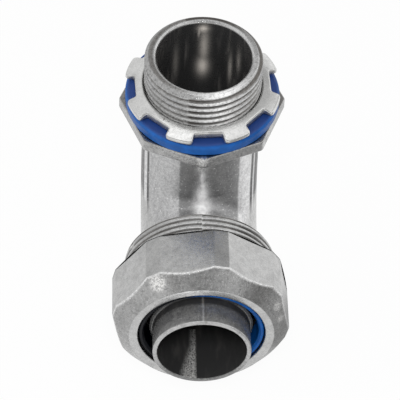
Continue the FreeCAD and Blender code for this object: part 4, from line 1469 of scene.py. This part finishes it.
def nut_path(sizes, bore):
    """The nut's section before it is cut to an octagon, as (radius, station) pairs."""
    blank = sizes.corner_radius
    return rounded_path([
        (blank, sizes.back, BLANK_ROUND, 0.0003),
        (blank, sizes.front - FACE_DEPTH, 0.0, 0.0003),
        (sizes.face_radius, sizes.front, 0.0, 0.0004),
        (sizes.mouth_radius, sizes.front, sizes.edge_round, 0.0005),
        (sizes.mouth_radius, sizes.front - sizes.lip_length, 0.0001, 0.0008),
        (sizes.cavity_radius, sizes.cavity_front, 0.0001, 0.0008),
        (sizes.cavity_radius, sizes.thread_end, 0.0001, 0.0005),
        (bore, sizes.thread_end, 0.0001, 0.00015),
        (bore, sizes.back + sizes.back_bevel, 0.0001, 0.0003),
        (bore + sizes.back_bevel, sizes.back, 0.0001, 0.0006),
    ])


def nut_marks(sizes, bore, path, shape):
    """Marks of the nut's rows: how far the octagon and the thread cut them, and the inside, which
    is painted darker as shade.
    """
    radius, station = path[:, 0], path[:, 1]
    blank, bevel = sizes.corner_radius, sizes.back_bevel
    back_face = (station < sizes.back + TIGHT / 2) & (radius < blank - BLANK_ROUND)
    outside = radius > sizes.face_radius + 2 * SLACK
    in_mouth = (radius < bore + SLACK) & (radius > sizes.mouth_radius - SLACK)
    at_back = station < sizes.back + NUT_BACK
    marks = {
        "skin": np.where(back_face, fade(radius - bore, bevel, blank - bore - bevel), outside),
        "inset": np.where(back_face, 0.0, np.maximum(blank - radius, 0.0) * at_back),
        "thread": (np.abs(radius - bore) < TIGHT) & (station < sizes.thread_end),
        "inside": in_mouth & (station < sizes.front - 0.0012),
    }
    return {k: np.broadcast_to(v.astype(float)[:, None], shape) for k, v in marks.items()}


def chip_nut_and_paint_light(mesh, shape, sizes):
    """Chip the finished nut, and mark its painted highlights and where it is painted darker as
    shade.
    """
    flat = np.zeros(len(mesh.vertices) * 3, np.float32)
    mesh.vertices.foreach_get("co", flat)
    rows = flat.reshape(*shape, 3).astype(float)
    torn = lumpy(rows, NUT_SPOTS, gland_axis)
    torn = torn * np.where(rows[..., 0] < TORN_LEFT, 0.8, 0.45)
    mesh.vertices.foreach_set("co", rows.reshape(-1).astype(np.float32))
    across, height = rows[..., 0], rows[..., 2] + GLAND_DROP
    out = np.hypot(across, height)
    behind = sizes.front + rows[..., 1]
    slope = (sizes.corner_radius - sizes.face_radius) / sizes.cone_length
    cone = np.abs(out - sizes.face_radius - slope * behind) < 0.00025
    cone = cone & (behind > SLACK) & (out > sizes.face_radius)
    # The face round the mouth gets a painted highlight, strongest at the top
    face = (behind < FACE_DEPTH) & (out > sizes.mouth_radius - SLACK) & (out < sizes.face_radius)
    top = bell(across, -0.0035, 0.0055) * (height > 0)
    worn = np.maximum(read_mark(mesh, "sheen", shape), face * (0.15 + 0.6 * top))
    # The cone is painted darker as shade at the right and just left of the top
    bearing = np.degrees(np.arctan2(across, height))
    dull = 0.60 * (bell(bearing, 45, 24) + 0.95 * bell(bearing, -22, 12))
    dirt = np.maximum(read_mark(mesh, "groove", shape), dull * cone)
    write_marks(mesh, {"torn": torn, "uneven": 0.12 + 0.7 * cone, "sheen": worn, "groove": dirt})
    mesh.update()


class CONNECTOR_OT_gland_nut(bpy.types.Operator):
    """Build the gland nut: a turned blank cut to an octagon, with its thread inside"""

    bl_idname = "connector.gland_nut"
    bl_label = "Gland nut"

    def execute(self, context):
        sizes = context.scene.connector_gland_nut
        casting = context.scene.connector_casting
        bore = casting.barrel_radius + context.scene.connector_thread.clearance
        turn = math.pi / 2 - sizes.turn
        path = nut_path(sizes, bore)
        angles = strip_angles(sizes.corner_radius, sizes.corner_cut, turn)
        shape = (len(path), len(angles))
        points = turned(path, angles, GLAND, RIGHT, UP, FRONT)
        mesh = grid_mesh("gland_nut_octagon", points, nut_marks(sizes, bore, path, shape))
        outward(mesh)
        thing = add_object("gland_nut_octagon", mesh)
        shape_with(thing, octagon_tree(), {
            "Centre": tuple(GLAND), "Along": tuple(FRONT), "Across": tuple(RIGHT),
            "Turn": turn, "Corner radius": sizes.corner_radius,
            "Corner cut": sizes.corner_cut, "Face radius": sizes.face_radius,
            "Front": sizes.front, "Cone length": sizes.cone_length,
            "Corner softness": sizes.corner_soft, "Cone softness": sizes.cone_soft,
            "Worn width": 0.00045, "Material": finish("nut"),
        })
        cut_nut_thread(thing, "barrel", bore, "nut")
        chip_nut_and_paint_light(thing.data, shape, sizes)
        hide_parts("gland_nut")
        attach(thing, "nut")
        return {"FINISHED"}


def ferrule_path(sizes):
    """The ferrule's section, as (radius, station) pairs."""
    floor = sizes.seat + sizes.wall
    return rounded_path([
        (sizes.inner_radius, sizes.seat, EDGE_ROUND, 0.001),
        (sizes.cup_radius, sizes.seat, 0.0003, 0.001),
        (sizes.cup_radius, sizes.cup_front, EDGE_ROUND, 0.0005),
        (sizes.cup_radius - sizes.wall, sizes.cup_front, EDGE_ROUND, 0.001),
        (sizes.cup_radius - sizes.wall, floor, 0.0003, 0.0008),
        (sizes.band_radius, floor, 0.0003, 0.0006),
        (sizes.band_radius, sizes.band_front - sizes.band_bevel, EDGE_ROUND, 0.0003),
        (sizes.band_radius - sizes.band_bevel, sizes.band_front, 0.0001, 0.0002),
        (sizes.tube_radius, sizes.band_front, 0.0001, 0.0003),
        (sizes.tube_radius, sizes.lip, sizes.lip_round, 0.0004),
        (sizes.inner_radius, sizes.lip, sizes.lip_round, 0.0004),
    ])


# The crusted strip: bearing of its sharp edge from the bottom, how far round it reaches at the
# back and how much further at the lip, all in degrees, and the station of its back end
STRIP_EDGE, STRIP_REACH, STRIP_SPREAD = 5.0, 15.0, 14.0
STRIP_BACK = 0.040


def crusted_strip(points, wall, depth):
    """Roughen a strip at the lower left inside, sharp at its right edge, and return its share."""
    forward = -points[..., 1]
    bearing = np.degrees(np.arctan2(-points[..., 0], -GLAND_DROP - points[..., 2]))
    reach = STRIP_REACH + STRIP_SPREAD * fade(forward, 0.046, 0.010)
    strip = fade(bearing, STRIP_EDGE, 1.2) * fade(bearing, reach, -9.0)
    strip = strip * wall * (forward > STRIP_BACK)
    for row, column in zip(*np.nonzero(strip > 0.01)):
        point = points[row, column]
        crust = noise.fractal(Vector(point / 0.0007), 0.7, 2.0, 3)
        lift = depth * (0.35 + crust) * strip[row, column]
        points[row, column] = point - straight_out(point, gland_axis) * lift
    return strip


class CONNECTOR_OT_ferrule(bpy.types.Operator):
    """Build the ferrule with its mould seam and the crusted strip inside"""

    bl_idname = "connector.ferrule"
    bl_label = "Ferrule"

    def execute(self, context):
        sizes = context.scene.connector_ferrule
        path = ferrule_path(sizes)
        radius, station = path[:, 0], path[:, 1]
        angles = crowded_angles(count=256, turn=math.pi / 2, crowding=0.0)
        points = turned(path, angles, GLAND, RIGHT, UP, FRONT)
        shape = points.shape[:2]
        inner = radius < sizes.inner_radius + TIGHT
        wall = np.broadcast_to(inner[:, None], shape)
        past_floor = station > sizes.seat + sizes.wall + 0.001
        band = (radius < sizes.band_radius + SLACK) & ~inner & past_floor
        seam = np.broadcast_to(band[:, None], shape) & (points[..., 2] > -GLAND_DROP)
        part_line(points, seam.astype(float), sizes.seam_height, 0.0002, gland_axis)
        strip = crusted_strip(points, wall, sizes.crust_depth)

        # The lip gets a painted highlight, and the seam a painted highlight with painted shade at
        # its right
        across = points[..., 0]
        lip = np.broadcast_to((station > sizes.lip - 0.0005)[:, None], shape)
        lip = lip * np.maximum(fade(points[..., 2], -0.0537, 0.008), 0.15)
        line = bell(across, 0.0, 0.00025) * seam
        beside = bell(across, 0.0007, 0.0002) * seam
        # Painted shadow darkens the tube round its root, and the band too, but for its front edge
        # at the sides; the inside wall is painted darker as shade
        ahead = (station - sizes.band_front)[:, None]
        root = fade(ahead, 0.0027, -0.0008)
        at_side = fade(np.abs(across), 0.0085, 0.003)
        root = root * (1 - at_side * (np.abs(ahead + 0.0003) < 0.00035))
        inside = np.maximum(wall * (1 - 0.75 * strip), 0.95 * root * (1 - wall))
        marks = {
            "inside": inside,
            "torn": 0.7 * strip,
            "uneven": 0.3 * (1 - inside),
            "sheen": np.maximum(0.4 * lip, 0.3 * line) * (1 - wall),
            "groove": 0.8 * beside,
        }
        mesh = grid_mesh("ferrule_tube", points, marks)
        outward(mesh)
        thing = add_object("ferrule_tube", mesh)
        mesh.materials.append(finish("tube"))
        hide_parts("ferrule")
        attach(thing, "fitting")
        return {"FINISHED"}


class CONNECTOR_OT_rings(bpy.types.Operator):
    """Give both blue rings their moulded finish"""

    bl_idname = "connector.rings"
    bl_label = "Blue rings"

    def execute(self, context):
        for node, kind in (("sealing_ring", "blue"), ("gland_ring", "shaded_blue")):
            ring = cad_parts[node]
            ring.data.materials.clear()
            ring.data.materials.append(finish(kind))
        return {"FINISHED"}


def add_lamp(name, spot, width, power, target):
    """Add a soft square lamp that faces a point."""
    lamp = bpy.data.lights.new(name, "AREA")
    lamp.shape = "SQUARE"
    lamp.size = width
    lamp.energy = power
    thing = bpy.data.objects.new(name, lamp)
    thing.location = spot
    thing.rotation_mode = "QUATERNION"
    thing.rotation_quaternion = (target - thing.location).to_track_quat("-Z", "Y")
    thing.visible_glossy = False
    bpy.context.scene.collection.objects.link(thing)


def seen_directly(tree):
    """1 for rays from the camera, off gloss or through glass, as an output."""
    rays = place(tree, "ShaderNodeLightPath").outputs
    seen = number(tree, "MAXIMUM", rays["Is Camera Ray"], rays["Is Glossy Ray"])
    return number(tree, "MAXIMUM", seen, rays["Is Transmission Ray"])


def toward_camera(studio):
    """The direction from the part to the camera."""
    return Vector((-math.sin(studio.azimuth) * math.cos(studio.elevation),
                   -math.cos(studio.azimuth) * math.cos(studio.elevation),
                   math.sin(studio.elevation)))


# The floor's grey in the part's gloss, by its bearing in degrees from the front
FLOOR_BANDS = (
    (-180, 0.5), (-140, 0.6), (-110, 0.9), (-60, 0.7), (-35, 0.7), (-25, 0.85), (25, 0.85),
    (34, 0.38), (60, 0.42), (74, 0.9), (110, 1.0), (140, 0.6), (180, 0.5),
)
# Grey cards round the part, which show in its gloss: (direction, inner and outer angle, level)
CARDS = (
    ((-0.90, 0.20, 0.30), 30, 80, 0.70),
    ((-0.15, -0.10, 0.98), 14, 34, 1.25),
    ((0.22, 0.65, 0.72), 12, 27, 0.48),
    ((0.90, -0.42, -0.08), 24, 42, 0.22),
)
# The dark end of the studio, behind the camera: (inner and outer angle, level)
CAMERA_CARD = (16, 42, 0.34)
# Square lamps: (name, place, width, power)
LAMPS = (
    ("left_lamp", (-0.9, -0.1, 0.5), 1.3, 4.0),
    ("camera_lamp", (-0.02, -0.40, 0.56), 0.16, 2.4),
)
# How bright the world is as light, against 1 where it is seen
AMBIENT = 0.45
# Half the floor's width, and how far it lies under the part
FLOOR_REACH = 1.5
FLOOR_GAP = 0.0002


class CONNECTOR_OT_stage(bpy.types.Operator):
    """Set up the floor, lamps, backdrop and camera"""

    bl_idname = "connector.stage"
    bl_label = "Stage"

    def execute(self, context):
        scene = context.scene
        studio = scene.connector_studio
        aim = Vector(studio.aim)
        self.add_floor(scene)
        self.add_world(scene, studio)
        for name, spot, width, power in LAMPS:
            add_lamp(name, spot, width, power, aim)
        self.add_camera(scene, studio, aim)
        scene.view_settings.view_transform = "Standard"
        return {"FINISHED"}

    def add_floor(self, scene):
        """A pale floor that keeps the shadow and looks white around it."""
        level = cad_low.z - FLOOR_GAP
        corners = [(x * FLOOR_REACH, y * FLOOR_REACH, level)
                   for x, y in ((-1, -1), (1, -1), (1, 1), (-1, 1))]
        mesh = bpy.data.meshes.new("floor")
        mesh.from_pydata(corners, [], [(0, 1, 2, 3)])
        floor = bpy.data.objects.new("floor", mesh)
        scene.collection.objects.link(floor)
        material, tree, surface = shader("pale_floor")
        surface.inputs["Base Color"].default_value = (*scene.connector_finish.floor, 1.0)
        surface.inputs["Roughness"].default_value = 0.9
        glow = place(tree, "ShaderNodeEmission")
        glow.inputs["Strength"].default_value = 1.0
        both = place(tree, "ShaderNodeMixShader")
        # White where it is seen, and in bands in the part's gloss
        rays = place(tree, "ShaderNodeLightPath").outputs
        where = place(tree, "ShaderNodeTexCoord").outputs["Object"]
        reflection_bands = by_bearing(tree, where, FLOOR_BANDS)
        tree.links.new(blend(tree, rays["Is Glossy Ray"], WHITE, reflection_bands), glow.inputs["Color"])
        share_of = number(tree, "MULTIPLY", seen_directly(tree), 0.95)
        tree.links.new(share_of, both.inputs[0])
        tree.links.new(surface.outputs[0], both.inputs[1])
        tree.links.new(glow.outputs[0], both.inputs[2])
        out = [n for n in tree.nodes if n.type == "OUTPUT_MATERIAL"][0]
        tree.links.new(both.outputs[0], out.inputs["Surface"])
        mesh.materials.append(material)

    def add_world(self, scene, studio):
        """White where it is seen, with the dark end of the studio behind the camera."""
        world = bpy.data.worlds.new("studio")
        world.use_nodes = True
        scene.world = world
        tree = world.node_tree
        tree.nodes.clear()
        direction = place(tree, "ShaderNodeTexCoord").outputs["Generated"]
        in_gloss = place(tree, "ShaderNodeLightPath").outputs["Is Glossy Ray"]
        tint = WHITE
        for toward, inner, outer, level in (*CARDS, (toward_camera(studio), *CAMERA_CARD)):
            toward = tuple(Vector(toward).normalized())
            facing = arrow(tree, "DOT_PRODUCT", direction, toward)
            card = smooth_step(tree, facing, math.cos(math.radians(outer)),
                               math.cos(math.radians(inner)), 0.0, 1.0)
            card = number(tree, "MULTIPLY", card, in_gloss)
            tint = blend(tree, card, tint, (level, level, level))
        light = place(tree, "ShaderNodeBackground")
        tree.links.new(tint, light.inputs["Color"])
        level = smooth_step(tree, seen_directly(tree), 0.0, 1.0, AMBIENT, 1.0)
        tree.links.new(level, light.inputs["Strength"])
        out = place(tree, "ShaderNodeOutputWorld")
        tree.links.new(light.outputs[0], out.inputs["Surface"])

    def add_camera(self, scene, studio, aim):
        """The camera at the photograph's place."""
        data = bpy.data.cameras.new("camera")
        data.sensor_width = 36.0
        data.lens = studio.lens
        data.clip_start = 0.01
        data.clip_end = 20.0
        camera = bpy.data.objects.new("camera", data)
        back = toward_camera(studio)
        camera.location = aim + back * studio.distance
        level = (-back).to_track_quat("-Z", "Y").to_matrix()
        camera.rotation_mode = "QUATERNION"
        camera.rotation_quaternion = (level @ Matrix.Rotation(studio.roll, 3, "Z")).to_quaternion()
        scene.collection.objects.link(camera)
        scene.camera = camera


class CONNECTOR_PT_panel(bpy.types.Panel):
    """Sidebar panel with one button for each piece"""

    bl_label = "Conduit connector"
    bl_idname = "CONNECTOR_PT_panel"
    bl_space_type = "VIEW_3D"
    bl_region_type = "UI"
    bl_category = "Connector"

    def draw(self, context):
        for operator in OPERATORS:
            self.layout.operator(operator.bl_idname)
        for group in GROUPS:
            box = self.layout.box()
            settings = getattr(context.scene, group)
            for name in settings.bl_rna.properties.keys():
                if name not in ("rna_type", "name"):
                    box.prop(settings, name)


OPERATORS = (
    CONNECTOR_OT_elbow_body,
    CONNECTOR_OT_locknut,
    CONNECTOR_OT_gland_nut,
    CONNECTOR_OT_ferrule,
    CONNECTOR_OT_rings,
    CONNECTOR_OT_stage,
)


def register():
    """Register every class and hang the settings on the scene."""
    for kind in (*GROUPS.values(), *OPERATORS, CONNECTOR_PT_panel):
        bpy.utils.register_class(kind)
    for name, group in GROUPS.items():
        setattr(bpy.types.Scene, name, bpy.props.PointerProperty(type=group))


def unregister():
    """Take the settings and classes away again."""
    for name in GROUPS:
        delattr(bpy.types.Scene, name)
    for kind in reversed((*GROUPS.values(), *OPERATORS, CONNECTOR_PT_panel)):
        bpy.utils.unregister_class(kind)


def main():
    """Build the whole connector."""
    register()
    for operator in OPERATORS:
        group, name = operator.bl_idname.split(".")
        getattr(getattr(bpy.ops, group), name)()


if __name__ == "__main__":
    main()
